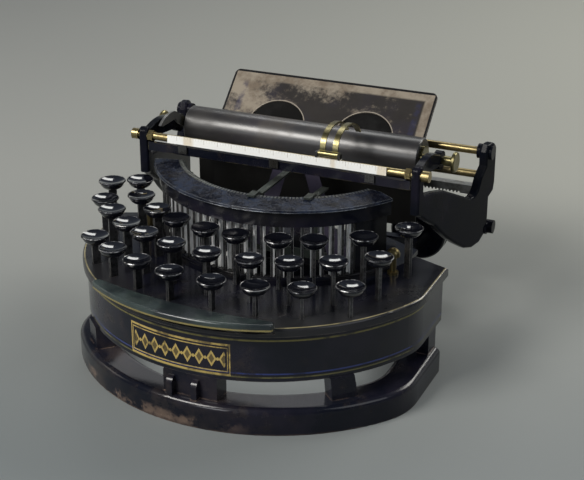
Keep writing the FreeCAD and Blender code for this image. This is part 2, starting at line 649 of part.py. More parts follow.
def typebar_body(name):
    """One hanging typebar, drawn in the plane X = 0 with its pivot at the origin and the printing point
    in the direction +Y: a hub, a heel outwards, a tapering shank and a type head."""
    bar = body(name)
    profile = sketch(bar, name + "_shank", "YZ_Plane")
    reach = "(fan_radius-bar_tip_gap)"
    half = "bar_depth/2"
    tip = "bar_depth/2*0.6"
    outline(profile, [("-" + half, "-hub_radius*0.5"), (f"-({tip})", f"-{reach}+head_size"),
                      (tip, f"-{reach}+head_size"), (half, "-hub_radius*0.5"), (half, "1"),
                      ("-" + half, "1")])
    pad(bar, profile, "bar_thick", both=True)
    hub = sketch(bar, name + "_hub", "YZ_Plane")
    circle(hub, "0", "0", "hub_radius")
    pad(bar, hub, "bar_thick", both=True)
    heel = sketch(bar, name + "_heel", "YZ_Plane")
    outline(heel, [("-1", "-1"), ("0", "1.6"), ("-heel_length*cos(50)", "heel_length*sin(50)+0.6", "0.8", 1),
                   ("-heel_length*cos(50)-0.9", "heel_length*sin(50)-0.6")])
    pad(bar, heel, "bar_thick", both=True)
    head = sketch(bar, name + "_head", "YZ_Plane")
    rectangle(head, f"-({tip})", "bar_depth/2", f"-{reach}", f"-{reach}+head_size")
    pad(bar, head, "bar_thick+0.8", both=True)
    hole = sketch(bar, name + "_hole", "YZ_Plane")
    circle(hole, "0", "0", "wire_radius+wire_gap")
    pocket(bar, hole, "10", both=True)
    return bar


def place_bar(bar, angle):
    place = polar(size("fan_radius"), angle, size("basket_y"))
    place.z = size("pivot_height")
    bar.Placement = FreeCAD.Placement(place, FreeCAD.Rotation(DIRECTIONS["z"], angle))
    return bar


def make_typebars():
    moving = {"left": LEFT_BAR, "right": RIGHT_BAR}
    angles = bar_angles()
    for side, number in moving.items():
        subpart(place_bar(typebar_body(f"{side}_bar"), angles[number]), f"typebar_{side}")
    master = typebar_body("resting_bar")
    copies = []
    for number, angle in enumerate(angles):
        if number in moving.values():
            continue
        copy = doc.addObject("Part::Compound", f"resting_bar_{number}")
        copy.Links = [master]
        copies.append(place_bar(copy, angle))
    return subpart(group("resting_bars", copies), "resting_typebars")


# ---------------------------------------------------------------- carriage end plates
SPLAY = "(atan((plate_rear_x-plate_front_x)/(plate_rear_y-plate_front_y))/1deg)"
REAR = f"((top_rod_y-plate_front_y)/cos({SPLAY}))"
PLATE_EDGE = [
    # (distance back from the front upright, height), round the plate
    ("-4", "171.5"), ("-4", "134.5"), ("2", "131.8"), ("14", "123.5"), ("26", "116"), ("37", "106"),
    ("51", "95"), ("66", "85"), ("81", "76"), ("94", "71.8"), ("107", "72"), ("117", "77.5"), ("121", "88"),
    ("121", "110"), ("129", "114"), (f"{REAR}+9.8", "122"), (f"{REAR}+9.8", "top_rod_height+2", "9", 1),
    (f"{REAR}+1.8", "top_rod_height+8.3"), (f"{REAR}-5.2", "top_rod_height+8.3"),
    (f"{REAR}-8.5", "top_rod_height+2"), (f"{REAR}-8.5", "(top_rod_height+mid_rod_height)/2"),
    (f"{REAR}-16", "mid_rod_height+3"), (f"{REAR}-20", "mid_rod_height-5", "12", -1), ("84", "121.5"),
    ("42", "141.5"), ("24", "146"), ("10", "148.5", "6", -1), ("5.2", "154"), ("5.2", "171.5", "5", 1),
]


def plate_half_body(name):
    plate = body(name)
    profile = sketch(plate, name + "_profile", "YZ_Plane")
    outline(profile, PLATE_EDGE)
    pad(plate, profile, "plate_thick", both=True)
    face = size("plate_thick/2")
    soften(plate, "plate_round", lambda edge: abs(abs(edge.BoundBox.Center.x) - face) < 1e-4)
    return plate


def make_end_plates():
    plate = plate_half_body("plate")
    slant = FreeCAD.Rotation(DIRECTIONS["z"], -size(SPLAY))
    place = FreeCAD.Vector(size("plate_front_x"), size("plate_front_y"), 0)
    plate.Placement = FreeCAD.Placement(place, slant)
    horn = body("horn")
    arm = sketch(horn, "horn_profile", "YZ_Plane", lift="eye_x")
    outline(arm, [("plate_front_y-3", "front_rod_height-1"), ("plate_front_y+6", "front_rod_height-4"),
                  ("platen_y-4", "platen_height-3"), ("platen_y-4", "platen_height+6", "60", 1),
                  ("plate_front_y+8", "front_rod_height+5.5"), ("plate_front_y-3", "front_rod_height+4")])
    pad(horn, arm, "eye_width", both=True)
    eye = sketch(horn, "eye_profile", "YZ_Plane", lift="eye_x")
    circle(eye, "platen_y", "platen_height", "eye_radius")
    pad(horn, eye, "eye_width", both=True)
    boss = rod("top_boss", "rear_rod_radius+3", ("plate_rear_x-8", "top_rod_y", "top_rod_height"), "13.4")
    side_knob = rod("side_knob", "6", ("plate_rear_x-1", "plate_front_y+125", "80"), "8.6")
    neck = rod("knob_neck", "5", ("plate_rear_x-4", "plate_front_y+117", "81"), "8")
    web = block("knob_web", "plate_rear_x-1", "plate_rear_x+4", "plate_front_y+114", "plate_front_y+125",
                "77", "83.5")
    solid = fuse("plate_solid", [plate, horn, boss, side_knob, neck, web])
    bores = [rod("front_bore", "front_rod_radius", ("100", "plate_front_y", "front_rod_height"), "50"),
             rod("eye_bore", "axle_radius+running_gap", ("100", "platen_y", "platen_height"), "60"),
             rod("top_bore", "rear_rod_radius", ("100", "top_rod_y", "top_rod_height"), "plate_rear_x-98"),
             rod("mid_bore", "rear_rod_radius", ("100", "mid_rod_y", "mid_rod_height"), "plate_rear_x-98"),
             block("rail_seat", "100", "rail_half", "rail_y-rail_size/2", "rail_y+rail_size/2",
                   "rail_height-rail_size/2", "rail_height+rail_size/2")]
    right = subpart(cut("plate_bored", solid, bores), "end_plate_right")
    subpart(flipped("left_plate", right), "end_plate_left")


# ---------------------------------------------------------------- carriage rods, beam and scale
def make_front_rod():
    shaft = rod("front_shaft", "front_rod_radius", ("-front_rod_half", "plate_front_y", "front_rod_height"),
                "2*front_rod_half")
    fittings = [shaft]
    for side, start in (("left", "-front_rod_half"), ("right", "front_rod_half-6")):
        fittings.append(rod(side + "_rod_knob", "front_rod_radius+1.4",
                            (start, "plate_front_y", "front_rod_height"), "6"))
    inner = "plate_front_x-plate_thick/2-0.9"
    for side, start in (("left", f"-({inner})"), ("right", f"{inner}-4.4")):
        nut = bind(doc.addObject("Part::Prism", side + "_rod_nut"), Circumradius="front_rod_radius+1.7",
                   Height="4.4")
        nut.Polygon = 6
        lie = FreeCAD.Rotation(DIRECTIONS["z"], DIRECTIONS["x"])
        place = FreeCAD.Vector(size(start), size("plate_front_y"), size("front_rod_height"))
        nut.Placement = FreeCAD.Placement(place, lie)
        fittings.append(nut)
    return subpart(fuse("front_rod_whole", fittings), "front_rod")


def make_rear_rods():
    end = "plate_rear_x+2"
    rods = [rod("top_rod", "rear_rod_radius", (f"-({end})", "top_rod_y", "top_rod_height"), f"2*({end})"),
            rod("mid_rod", "rear_rod_radius", (f"-({end})", "mid_rod_y", "mid_rod_height"), f"2*({end})")]
    return subpart(group("rear_rod_pair", rods), "rear_rods")


RACK_HALF = "(floor(carriage_travel/tooth_pitch)+3)"
RACK_FIRST = f"(pinion_x-{RACK_HALF}*tooth_pitch)"
RACK_COUNT = f"(2*{RACK_HALF}+1)"


def make_rail():
    """The square steel rail that the carriage slides on, with the rack cut in its underside."""
    rail = body("rail")
    section = sketch(rail, "rail_section", "YZ_Plane")
    rectangle(section, "rail_y-rail_size/2", "rail_y+rail_size/2", "rail_height-rail_size/2",
              "rail_height+rail_size/2")
    pad(rail, section, "2*rail_half", both=True)
    gap = sketch(rail, "rack_gap", "XZ_Plane", lift="-rail_y")
    foot = "rail_height-rail_size/2"
    wide = "tooth_pitch*0.36"
    narrow = "tooth_pitch*0.2"
    outline(gap, [(f"{RACK_FIRST}-{wide}", f"{foot}-0.01"), (f"{RACK_FIRST}+{wide}", f"{foot}-0.01"),
                  (f"{RACK_FIRST}+{narrow}", f"{foot}+tooth_depth"),
                  (f"{RACK_FIRST}-{narrow}", f"{foot}+tooth_depth")])
    notch = pocket(rail, gap, "rail_size*2", both=True)
    pattern = rail.newObject("PartDesign::LinearPattern", "rack_pattern")
    pattern.Originals = [notch]
    pattern.Direction = (gap, ["H_Axis"])
    pattern.setExpression("Length", cells(f"tooth_pitch*({RACK_COUNT}-1)"))
    pattern.setExpression("Occurrences", cells(RACK_COUNT))
    rail.Tip = pattern
    return subpart(rail, "steel_rail")


def make_beam():
    beam = body("beam")
    section = sketch(beam, "beam_section", "YZ_Plane")
    outline(section, [("beam_front_y", "beam_foot"), ("beam_front_y+beam_depth", "beam_foot"),
                      ("beam_front_y+beam_depth", "beam_foot+beam_height*0.5"),
                      ("beam_front_y+beam_depth*0.5", "beam_foot+beam_height"),
                      ("beam_front_y", "beam_foot+beam_height")])
    pad(beam, section, "2*(plate_front_x-plate_thick/2-0.9)", both=True)
    return subpart(beam, "carriage_beam")


def make_scale():
    face = "beam_front_y-scale_thick-0.6"
    bar = block("scale_strip", "-scale_half", "scale_half", face, f"{face}+scale_thick", "scale_foot",
                "scale_foot+scale_height")
    pieces = [bar]
    for number, x in enumerate(("-scale_half+10", "-4", "scale_half-18")):
        pieces.append(block(f"scale_leaf_{number}", x, f"{x}+8", face, f"{face}+scale_thick", "beam_foot+2",
                            "scale_foot+2"))
        pieces.append(block(f"scale_tab_{number}", x, f"{x}+8", face, "beam_front_y", "beam_foot+2",
                            "beam_foot+beam_height-1"))
    low, high = "finger_x-3", "finger_x+finger_pitch+finger_width+1"
    for name, x in (("left", low), ("right", high)):
        pieces.append(block(f"finger_lug_{name}", x, f"{x}+2", face, "finger_y+2",
                            "front_rod_height+front_rod_radius+0.6", "finger_z+1.6"))
    pieces.append(rod("finger_pin", "finger_pin", (low, "finger_y", "finger_z"), f"{high}-({low})+2"))
    return subpart(fuse("scale_whole", pieces), "scale_bar")


# ---------------------------------------------------------------- platen
def make_platen():
    platen = body("roller")
    profile = sketch(platen, "platen_profile", "XY_Plane")
    half = "platen_length/2"
    outline(profile, [(f"-{half}", "axle_radius"), (half, "axle_radius"), (half, "platen_radius-1"),
                      (f"{half}-1", "platen_radius"), (f"-{half}+1", "platen_radius"),
                      (f"-{half}", "platen_radius-1")])
    turn(platen, profile, "H_Axis")
    platen.Placement = FreeCAD.Placement(FreeCAD.Vector(0, size("platen_y"), size("platen_height")),
                                         FreeCAD.Rotation())
    return subpart(platen, "platen")


def make_platen_knobs():
    """The axle, its two milled knobs, the end discs and the line-space ratchet."""
    core = body("axle")
    profile = sketch(core, "axle_profile", "XY_Plane")
    end = "(knob_start+knob_length)"
    disc = "(platen_length/2)"
    right = [(disc, "axle_radius"), (disc, "platen_radius*0.62"), (f"{disc}+2", "platen_radius*0.62"),
             (f"{disc}+2", "axle_radius"), ("knob_start", "axle_radius"), ("knob_start", "knob_hub"),
             (f"{end}-knob_rim", "knob_hub"), (f"{end}-knob_rim", "knob_radius-0.8"),
             (f"{end}-knob_rim+0.8", "knob_radius"), (f"{end}-0.8", "knob_radius"), (end, "knob_radius-0.8"),
             (end, "0")]
    outline(profile, right + [(f"-({x})", y) for x, y in reversed(right)])
    turn(core, profile, "H_Axis")
    groove = sketch(core, "ratchet_notch", "YZ_Plane", lift="platen_length/2")
    outline(groove, [("-1.1", "platen_radius*0.62+0.5"), ("0.2", "platen_radius*0.62-1.5"),
                     ("0.6", "platen_radius*0.62+0.5")])
    notch = pocket(core, groove, "2.2", back=True)
    pattern = core.newObject("PartDesign::PolarPattern", "ratchet_pattern")
    pattern.Originals = [notch]
    pattern.Axis = (profile, ["H_Axis"])
    pattern.Angle = 360
    pattern.Occurrences = 24
    core.Tip = pattern
    core.Placement = FreeCAD.Placement(FreeCAD.Vector(0, size("platen_y"), size("platen_height")),
                                       FreeCAD.Rotation())
    return subpart(core, "platen_knobs")


def make_feed_roller():
    """Three rubber sleeves on a thin shaft, under the back of the platen."""
    roller = body("feed")
    profile = sketch(roller, "feed_profile", "XY_Plane")
    half, outer, inner = "(platen_length/2-4.5)", "(platen_length/2-15.5)", "(platen_length/2-45.5)"
    corners = [("-" + half, "0"), (half, "0"), (half, "roller_shaft")]
    for low, high in ((inner, outer), ("-15", "15"), ("-" + outer, "-" + inner)):
        corners += [(high, "roller_shaft"), (high, "roller_radius"), (low, "roller_radius"),
                    (low, "roller_shaft")]
    outline(profile, corners + [("-" + half, "roller_shaft")])
    turn(roller, profile, "H_Axis")
    y, z = roller_axis()
    roller.Placement = FreeCAD.Placement(FreeCAD.Vector(0, y, z), FreeCAD.Rotation())
    return subpart(roller, "feed_roller")


def roller_axis():
    reach = size("platen_radius+roller_radius+roller_gap")
    lean = math.radians(size("roller_angle"))
    return size("platen_y") + reach * math.cos(lean), size("platen_height") + reach * math.sin(lean)


# ---------------------------------------------------------------- paper table
def make_paper_table():
    """A leaning plate with two arched recesses, two brackets to the top rod and two roller ears; its lower
    edge bends down into a pan behind the platen.
    Its sketch plane is the plate's own: Y runs down the slope from the top edge."""
    table = body("table")
    plan = sketch(table, "table_plan")
    outline(plan, [("-table_half", "-5"), ("-table_half", "-table_drop"), ("table_half", "-table_drop"),
                   ("table_half", "-5", "5", 1), ("table_half-5", "0"), ("-table_half+5", "0", "5", 1)])
    pad(table, plan, "table_thick", back=True)
    arches = sketch(table, "table_arches")
    for side in ("-", ""):
        centre = f"({side}arch_x)"
        outline(arches, [(f"{centre}+arch_half", "-arch_drop", "arch_radius", 1),
                         (f"{centre}-arch_half", "-arch_drop"),
                         (f"{centre}-arch_half+3", "-arch_foot"), (f"{centre}+arch_half-3", "-arch_foot")])
    pocket(table, arches, "arch_depth")
    lean = FreeCAD.Rotation(DIRECTIONS["x"], size("table_lean"))
    table.Placement = FreeCAD.Placement(FreeCAD.Vector(0, size("table_top_y"), size("table_top_z")), lean)
    pieces = [table, paper_pan()]
    for name, x in (("left", "-table_half+12.5"), ("right", "table_half-15.5")):
        pieces.append(table_bracket(name, x))
    for name, x in (("left", "-table_half-1.5"), ("right", "table_half-1.5")):
        pieces.append(roller_ear(name, x))
    y, z = roller_axis()
    bores = [rod("bracket_bore", "rear_rod_radius", ("-120", "top_rod_y", "top_rod_height"), "240"),
             rod("ear_bore", "roller_shaft+running_gap", ("-120", str(y), str(z)), "240")]
    return subpart(cut("table_bored", fuse("table_solid", pieces), bores), "paper_table")


def paper_pan():
    """The sheet that goes on from the lower edge of the table, round a bend and straight down."""
    pan = body("pan")
    profile = sketch(pan, "pan_profile", "YZ_Plane")
    edge_y, edge_z = "(table_top_y-table_drop*cos(table_lean))", "(table_top_z-table_drop*sin(table_lean))"
    bend = f"(({edge_y}-pan_y)/(1-sin(table_lean)))"
    end = f"({edge_z}-{bend}*cos(table_lean))"
    outline(profile, [(edge_y, edge_z, bend, 1), ("pan_y", end), ("pan_y", "pan_foot"),
                      ("pan_y+table_thick", "pan_foot"),
                      ("pan_y+table_thick", end, f"{bend}-table_thick", -1),
                      (f"{edge_y}+table_thick*sin(table_lean)", f"{edge_z}-table_thick*cos(table_lean)")])
    pad(pan, profile, "2*table_half", both=True)
    return pan


def table_point(drop):
    """A point on the back face of the paper table, as Y and Z expressions."""
    return (f"table_top_y-({drop})*cos(table_lean)+table_thick*sin(table_lean)*0.5",
            f"table_top_z-({drop})*sin(table_lean)-table_thick*cos(table_lean)*0.5")


def table_bracket(name, x):
    arm = body(name + "_bracket")
    profile = sketch(arm, arm.Name + "_profile", "YZ_Plane", lift=x)
    top, low = table_point("9"), table_point("24")
    outline(profile, [("top_rod_y-6", "top_rod_height"), ("top_rod_y+6", "top_rod_height", "200", 1), top,
                      low])
    pad(arm, profile, "3")
    hub = sketch(arm, arm.Name + "_hub", "YZ_Plane", lift=x)
    circle(hub, "top_rod_y", "top_rod_height", "rear_rod_radius+2.6")
    pad(arm, hub, "3")
    return arm


def roller_ear(name, x):
    y, z = roller_axis()
    lug = body(name + "_roller_ear")
    profile = sketch(lug, lug.Name + "_profile", "YZ_Plane", lift=x)
    top, low = table_point("table_drop-12"), table_point("table_drop-1")
    outline(profile, [(str(y - 1.5), str(z - 4.2)), low, top, (str(y - 2.4), str(z + 4.2), "4.6", 1)])
    pad(lug, profile, "3")
    return lug


# ---------------------------------------------------------------- paper finger and line-space lever
def make_paper_finger():
    finger = body("finger")
    for number, x in enumerate(("finger_x", "finger_x+finger_pitch")):
        band = sketch(finger, f"band_{number}", "YZ_Plane", lift=x)
        crown_y, crown_z = "finger_y+finger_crown_y", "finger_z+finger_crown_z"
        end_y, end_z = "finger_y+finger_reach", "finger_z+finger_end_z"
        outline(band, [("finger_y", "finger_z+finger_hub*0.4", "finger_bend", -1),
                       (crown_y, crown_z, "finger_bow", -1), (end_y, end_z),
                       (f"{end_y}-1", f"{end_z}-0.8", "finger_bow-finger_thick", 1),
                       (f"{crown_y}+0.6", f"{crown_z}-1.2", "finger_bend-finger_thick", 1),
                       ("finger_y+1.6", "finger_z+finger_hub*0.4")])
        pad(finger, band, "finger_width")
        if number == 0:
            hub = sketch(finger, "finger_hub_plan", "YZ_Plane", lift="finger_x-0.8")
            circle(hub, "finger_y", "finger_z", "finger_hub")
            pad(finger, hub, "finger_pitch+finger_width+1.6")
    hole = sketch(finger, "finger_hole", "YZ_Plane", lift="finger_x-1")
    circle(hole, "finger_y", "finger_z", "finger_pin+running_gap")
    pocket(finger, hole, "finger_pitch+finger_width+3", back=True)
    return subpart(finger, "paper_finger")


def make_line_space_lever():
    lever = body("lever")
    x = "-platen_length/2-5.4"
    hub = sketch(lever, "lever_hub", "YZ_Plane", lift=x)
    circle(hub, "platen_y", "platen_height", "axle_radius+3.4")
    pad(lever, hub, "3")
    arm = sketch(lever, "lever_arm", "YZ_Plane", lift=x)
    outline(arm, [("platen_y-4", "platen_height-1"), ("platen_y-2", "platen_height+5.6"),
                  ("platen_y-24", "platen_height+19", "34", 1), ("platen_y-46", "platen_height+16.5"),
                  ("platen_y-50.5", "platen_height+13.5"), ("platen_y-47", "platen_height+12"),
                  ("platen_y-24", "platen_height+12", "40", 1)])
    pad(lever, arm, "2.4")
    hole = sketch(lever, "lever_hole", "YZ_Plane", lift=x)
    circle(hole, "platen_y", "platen_height", "axle_radius+running_gap")
    pocket(lever, hole, "3", back=True)
    return subpart(lever, "line_space_lever")


# ---------------------------------------------------------------- rear frame
HEAD_TOP = "(mid_rod_height+rear_rod_radius+6.6)"
HEAD_FOOT = "(rail_height-rail_size/2-7)"


def make_rear_column():
    column = body("column")
    front = sketch(column, "column_front", "XZ_Plane", lift="-column_front_y")
    outline(front, [("-62", "base_height"), ("62", "base_height"), ("58", "30"),
                    ("column_half+6", "60", "40", -1), ("column_half", HEAD_FOOT),
                    ("column_half", f"{HEAD_TOP}-8", "8", 1), ("column_half-8", HEAD_TOP),
                    ("-column_half+8", HEAD_TOP, "8", 1), ("-column_half", f"{HEAD_TOP}-8"),
                    ("-column_half", HEAD_FOOT, "40", -1), ("-column_half-6", "60"), ("-58", "30")])
    pad(column, front, "column_rear_y-column_front_y", back=True)
    window = sketch(column, "column_window", "XZ_Plane", lift="-column_front_y")
    jamb, spring = "(column_half-8)", f"({HEAD_FOOT}-14)"
    outline(window, [("-" + jamb, "44"), (jamb, "44"), (jamb, spring, jamb + "*1.02", 1),
                     ("-" + jamb, spring)])
    pocket(column, window, "column_rear_y-column_front_y")
    shelf = sketch(column, "shelf_plan", lift="shelf_top-shelf_thick")
    outline(shelf, [("-shelf_half", "34"), ("-48", "34"), ("-48", "82"), ("48", "82"), ("48", "34"),
                    ("shelf_half", "34"), ("shelf_half", "96"), ("62", "112"), ("-62", "112"),
                    ("-shelf_half", "96")])
    pad(column, shelf, "shelf_thick")
    for side in (-1, 1):
        leg = sketch(column, f"shelf_leg_{side + 1}", lift="base_height")
        low, high = sorted((side * 82, side * 74))
        rectangle(leg, str(low), str(high), "84", "96")
        pad(column, leg, "shelf_top-shelf_thick-base_height+0.5")
        foot = sketch(column, f"shelf_foot_{side + 1}", lift="base_height")
        low, high = sorted((side * 88, side * 66))
        rectangle(foot, str(low), str(high), "80", "100")
        pad(column, foot, "4")
    arm_front, arm_back = "column_rear_y-18", "column_rear_y-10"
    pin_start, pin_length = "column_rear_y-12", "drum_y-column_rear_y+12"
    extras = [block("drum_arm", "20", "drum_x+5", arm_front, arm_back, "drum_height-8", "shelf_top"),
              block("bell_arm", "-drum_x-5", "-20", arm_front, arm_back, "drum_height-8", "shelf_top"),
              block("pinion_lug", "20", "pinion_x+6", "column_front_y", "column_front_y+5", "rail_height-22",
                    "rail_height-3"),
              rod("drum_pin", "pin_radius", ("drum_x", pin_start, "drum_height"),
                  pin_length + "+drum_depth+3", "y"),
              rod("drum_collar", "pin_radius+2", ("drum_x", pin_start, "drum_height"), pin_length + "-0.3",
                  "y"),
              rod("bell_pin", "pin_radius", ("-drum_x", pin_start, "drum_height"), pin_length, "y")]
    for name, side in (("left", "-"), ("right", "")):
        extras.append(rod(name + "_spool_pin", "spool_pin", (side + "spool_x", "spool_y", "shelf_top-1"),
                          "spool_height+3", "z"))
    solid = fuse("column_solid", [column] + extras)
    half = "(rail_size/2+slide_gap)"
    bores = [rod("head_bore", "rear_rod_radius+slide_gap", ("-60", "mid_rod_y", "mid_rod_height"), "120"),
             block("rail_bore", "-60", "60", f"rail_y-{half}", f"rail_y+{half}", f"rail_height-{half}",
                   f"rail_height+{half}"),
             rod("pinion_bore", "2+running_gap", ("pinion_x", "column_front_y-1", PINION_Z), "8", "y")]
    return subpart(cut("column_bored", solid, bores), "rear_column")


PINION_RADIUS = "(pinion_teeth*tooth_pitch/(2*3.14159265))"
PINION_Z = f"(rail_height-rail_size/2+tooth_depth/2-{PINION_RADIUS})"


def make_escapement():
    """The pinion under the rack, its arbor and the toothed escape wheel behind the lug."""
    wheel = body("pinion")
    plan = sketch(wheel, "pinion_plan", "XZ_Plane", lift="-(rail_y-3.5)")
    root = f"({PINION_RADIUS}-tooth_depth*0.5-pinion_gap)"
    circle(plan, "0", "0", root)
    pad(wheel, plan, "7", back=True)
    tooth = sketch(wheel, "pinion_tooth", "XZ_Plane", lift="-(rail_y-3.5)")
    tip = f"({PINION_RADIUS}+tooth_depth*0.5-pinion_gap)"
    outline(tooth, [("-tooth_pitch*0.22", f"{root}-0.4"), ("tooth_pitch*0.22", f"{root}-0.4"),
                    ("tooth_pitch*0.11", tip), ("-tooth_pitch*0.11", tip)])
    cog = pad(wheel, tooth, "7", back=True)
    pattern = wheel.newObject("PartDesign::PolarPattern", "pinion_pattern")
    pattern.Originals = [cog]
    pattern.Axis = (tooth, ["N_Axis"])
    pattern.Angle = 360
    pattern.setExpression("Occurrences", cells("pinion_teeth"))
    wheel.Tip = pattern
    arbor = sketch(wheel, "arbor_plan", "XZ_Plane", lift="-(column_front_y-6)")
    circle(arbor, "0", "0", "2")
    pad(wheel, arbor, "rail_y-column_front_y+6", back=True)
    disc = sketch(wheel, "escape_wheel_plan", "XZ_Plane", lift="-(column_front_y-4)")
    circle(disc, "0", "0", "12")
    pad(wheel, disc, "2", back=True)
    gap = sketch(wheel, "escape_gap", "XZ_Plane", lift="-(column_front_y-4)")
    outline(gap, [("-1.4", "12.5"), ("0.1", "9.6"), ("0.9", "12.5")])
    notch = pocket(wheel, gap, "2")
    teeth = wheel.newObject("PartDesign::PolarPattern", "escape_pattern")
    teeth.Originals = [notch]
    teeth.Axis = (gap, ["N_Axis"])
    teeth.Angle = 360
    teeth.Occurrences = 20
    wheel.Tip = teeth
    place = FreeCAD.Vector(size("pinion_x"), 0, size(PINION_Z))
    wheel.Placement = FreeCAD.Placement(place, FreeCAD.Rotation())
    return subpart(wheel, "escapement_wheel")


def make_drum():
    """The flat round case of the mainspring, with a strap groove and a hub."""
    drum = body("drum")
    profile = sketch(drum, "drum_profile", "XY_Plane")
    bore = "pin_radius+running_gap"
    outline(profile, [(bore, "0"), ("drum_radius-1.5", "0"), ("drum_radius", "1.5"),
                      ("drum_radius", "drum_depth-6"), ("drum_radius-2", "drum_depth-5"),
                      ("drum_radius-2", "drum_depth-2"), ("drum_radius", "drum_depth-1.5"),
                      ("drum_radius", "drum_depth"), ("7", "drum_depth"), ("6", "drum_depth+2"),
                      (bore, "drum_depth+2")])
    turn(drum, profile)
    drum.Placement = FreeCAD.Placement(FreeCAD.Vector(size("drum_x"), size("drum_y"), size("drum_height")),
                                       FreeCAD.Rotation())
    return subpart(drum, "mainspring_drum")


def make_bell():
    """A thin domed gong that faces backwards."""
    bell = body("gong")
    profile = sketch(bell, "bell_profile", "XY_Plane")
    dome = "bell_radius*1.3"
    outline(profile, [("0", "0"), ("6", "0"), ("bell_radius", "9", dome, 1), ("bell_radius", "12"),
                      ("bell_radius-1.4", "12", dome, -1), ("5.4", "1.6"), ("4", "1.6"), ("4", "14"),
                      ("0", "14")])
    turn(bell, profile)
    bell.Placement = FreeCAD.Placement(FreeCAD.Vector(-size("drum_x"), size("drum_y"), size("drum_height")),
                                       FreeCAD.Rotation())
    return subpart(bell, "bell")


# ---------------------------------------------------------------- ribbon
def spool(name, side):
    made = body(name)
    profile = sketch(made, name + "_profile", "XZ_Plane")
    flange, top, bore = "1.2", "spool_height", "spool_pin+running_gap"
    outline(profile, [(bore, "0"), ("spool_radius", "0"), ("spool_radius", flange), ("ribbon_pack", flange),
                      ("ribbon_pack", f"{top}-{flange}"), ("spool_radius", f"{top}-{flange}"),
                      ("spool_radius", top), (bore, top)])
    turn(made, profile)
    place = FreeCAD.Vector(side * size("spool_x"), size("spool_y"), size("shelf_top+0.4"))
    made.Placement = FreeCAD.Placement(place, FreeCAD.Rotation())
    return made


def make_ribbon():
    """The inked ribbon: one strip from spool to spool that climbs to its guide below the printing point."""
    strip = body("ribbon_strip")
    face = sketch(strip, "ribbon_face", "XZ_Plane", lift="-ribbon_y")
    low = "(shelf_top+0.4+0.5*(spool_height-ribbon_width))"
    line = "(platen_height-ribbon_rest)"
    right = [("8", line), ("30", low), ("spool_x-2", low), ("spool_x-2", f"{low}+ribbon_width"),
             ("42", f"{low}+ribbon_width"), ("ribbon_half+2", f"{line}+ribbon_width")]
    outline(face, right + [(f"-({x})", z) for x, z in reversed(right)])
    pad(strip, face, "ribbon_thick", back=True)
    return subpart(strip, "ribbon")


def make_ribbon_guide():
    """Two forked posts that hold the ribbon at the printing point, and two flat levers over the basket."""
    pieces = []
    front, back = "ribbon_y+0.6", "ribbon_y+2.6"
    for name, x in (("left", "-ribbon_half-5"), ("right", "ribbon_half+2")):
        pieces.append(block(f"guide_post_{name}", x, f"{x}+3", front, back, "shelf_top", "platen_height-14"))
    bridge = block("guide_bridge", "-48", "48", front, back, "shelf_top-shelf_thick+0.5", "shelf_top+4")
    fork = fuse("guide_fork", pieces + [bridge])
    levers = [fork]
    top = "(hanger_top+cover_thick+cover_rise)"
    plate_path = "(plate_front_y-plate_thick-1.5)"
    for name, x, end in (("left", "2", "24"), ("right", "45", plate_path)):
        arm = body(f"basket_lever_{name}")
        profile = sketch(arm, arm.Name + "_profile", "YZ_Plane", lift=x)
        rim = f"(basket_y-sqrt((cover_inner+2)^2-({x}+3)^2))"
        outline(profile, [(f"{rim}-7", f"{top}+0.1"), (f"{rim}+3", f"{top}+0.1"), (f"{rim}+8", f"{top}-3.4"),
                          (end, f"{top}-4.4"), (end, f"{top}-2.8"), (f"{rim}+8.5", f"{top}-1.8"),
                          (f"{rim}+3.5", f"{top}+1.7"), (f"{rim}-7", f"{top}+1.7")])
        pad(arm, profile, "6")
        levers.append(arm)
    return subpart(group("ribbon_guides", levers), "ribbon_guide")


def make_thumb_nuts():
    """Two domed brass nuts on studs that clamp the type unit to the deck."""
    nut = body("nut")
    profile = sketch(nut, "nut_profile", "XZ_Plane")
    foot = "deck_top"
    outline(profile, [("0", foot), ("4.5", foot), ("4.5", f"{foot}+2"), ("2.6", f"{foot}+2"),
                      ("2.6", "nut_height-8"),
                      ("nut_radius", "nut_height-7"), ("nut_radius", "nut_height-4.5", "nut_radius*1.1", 1),
                      ("0.8", "nut_height"), ("0", "nut_height")])
    turn(nut, profile)
    pair = []
    for name, side in (("left", -1), ("right", 1)):
        copy = doc.addObject("Part::Compound", f"{name}_nut")
        copy.Links = [nut]
        place = FreeCAD.Vector(side * size("nut_x"), size("nut_y"), 0)
        copy.Placement = FreeCAD.Placement(place, FreeCAD.Rotation())
        pair.append(copy)
    return subpart(group("nut_pair", pair), "thumb_nuts")


# ---------------------------------------------------------------- build everything
make_base_ring()
make_deck()
make_space_bar()
cap, rim = make_cap(), make_rim()
for key in KEYS:
    make_key(key, cap, rim)
make_basket_frame()
subpart(wire("fulcrum", "wire_radius"), "fulcrum_wire")
make_cover()
make_typebars()
make_end_plates()
make_front_rod()
make_rear_rods()
make_rail()
make_beam()
make_scale()
make_platen()
make_platen_knobs()
make_feed_roller()
make_paper_table()
make_paper_finger()
make_line_space_lever()
make_rear_column()
make_escapement()
make_drum()
make_bell()
subpart(spool("left_spool", -1), "ribbon_spool_left")
subpart(spool("right_spool", 1), "ribbon_spool_right")
make_ribbon()
make_ribbon_guide()
make_thumb_nuts()
doc.recompute()

# ---------------------------------------------------------------- check and write
for thing in doc.Objects:
    assert not {"Invalid", "Error"} & set(thing.State), f"{thing.Label} failed: {thing.State}"
assert len(SUBPARTS) <= 60, f"{len(SUBPARTS)} sub-parts"
for thing in SUBPARTS:
    shape = thing.Shape
    assert not shape.isNull() and shape.isValid() and shape.Volume > 0, f"{thing.Label} has no valid shape"
    shape.exportStep(f"parts/{thing.Label}.step")
print(len(SUBPARTS), "sub-parts written")
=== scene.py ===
import math

import bpy
from mathutils import Matrix, Vector


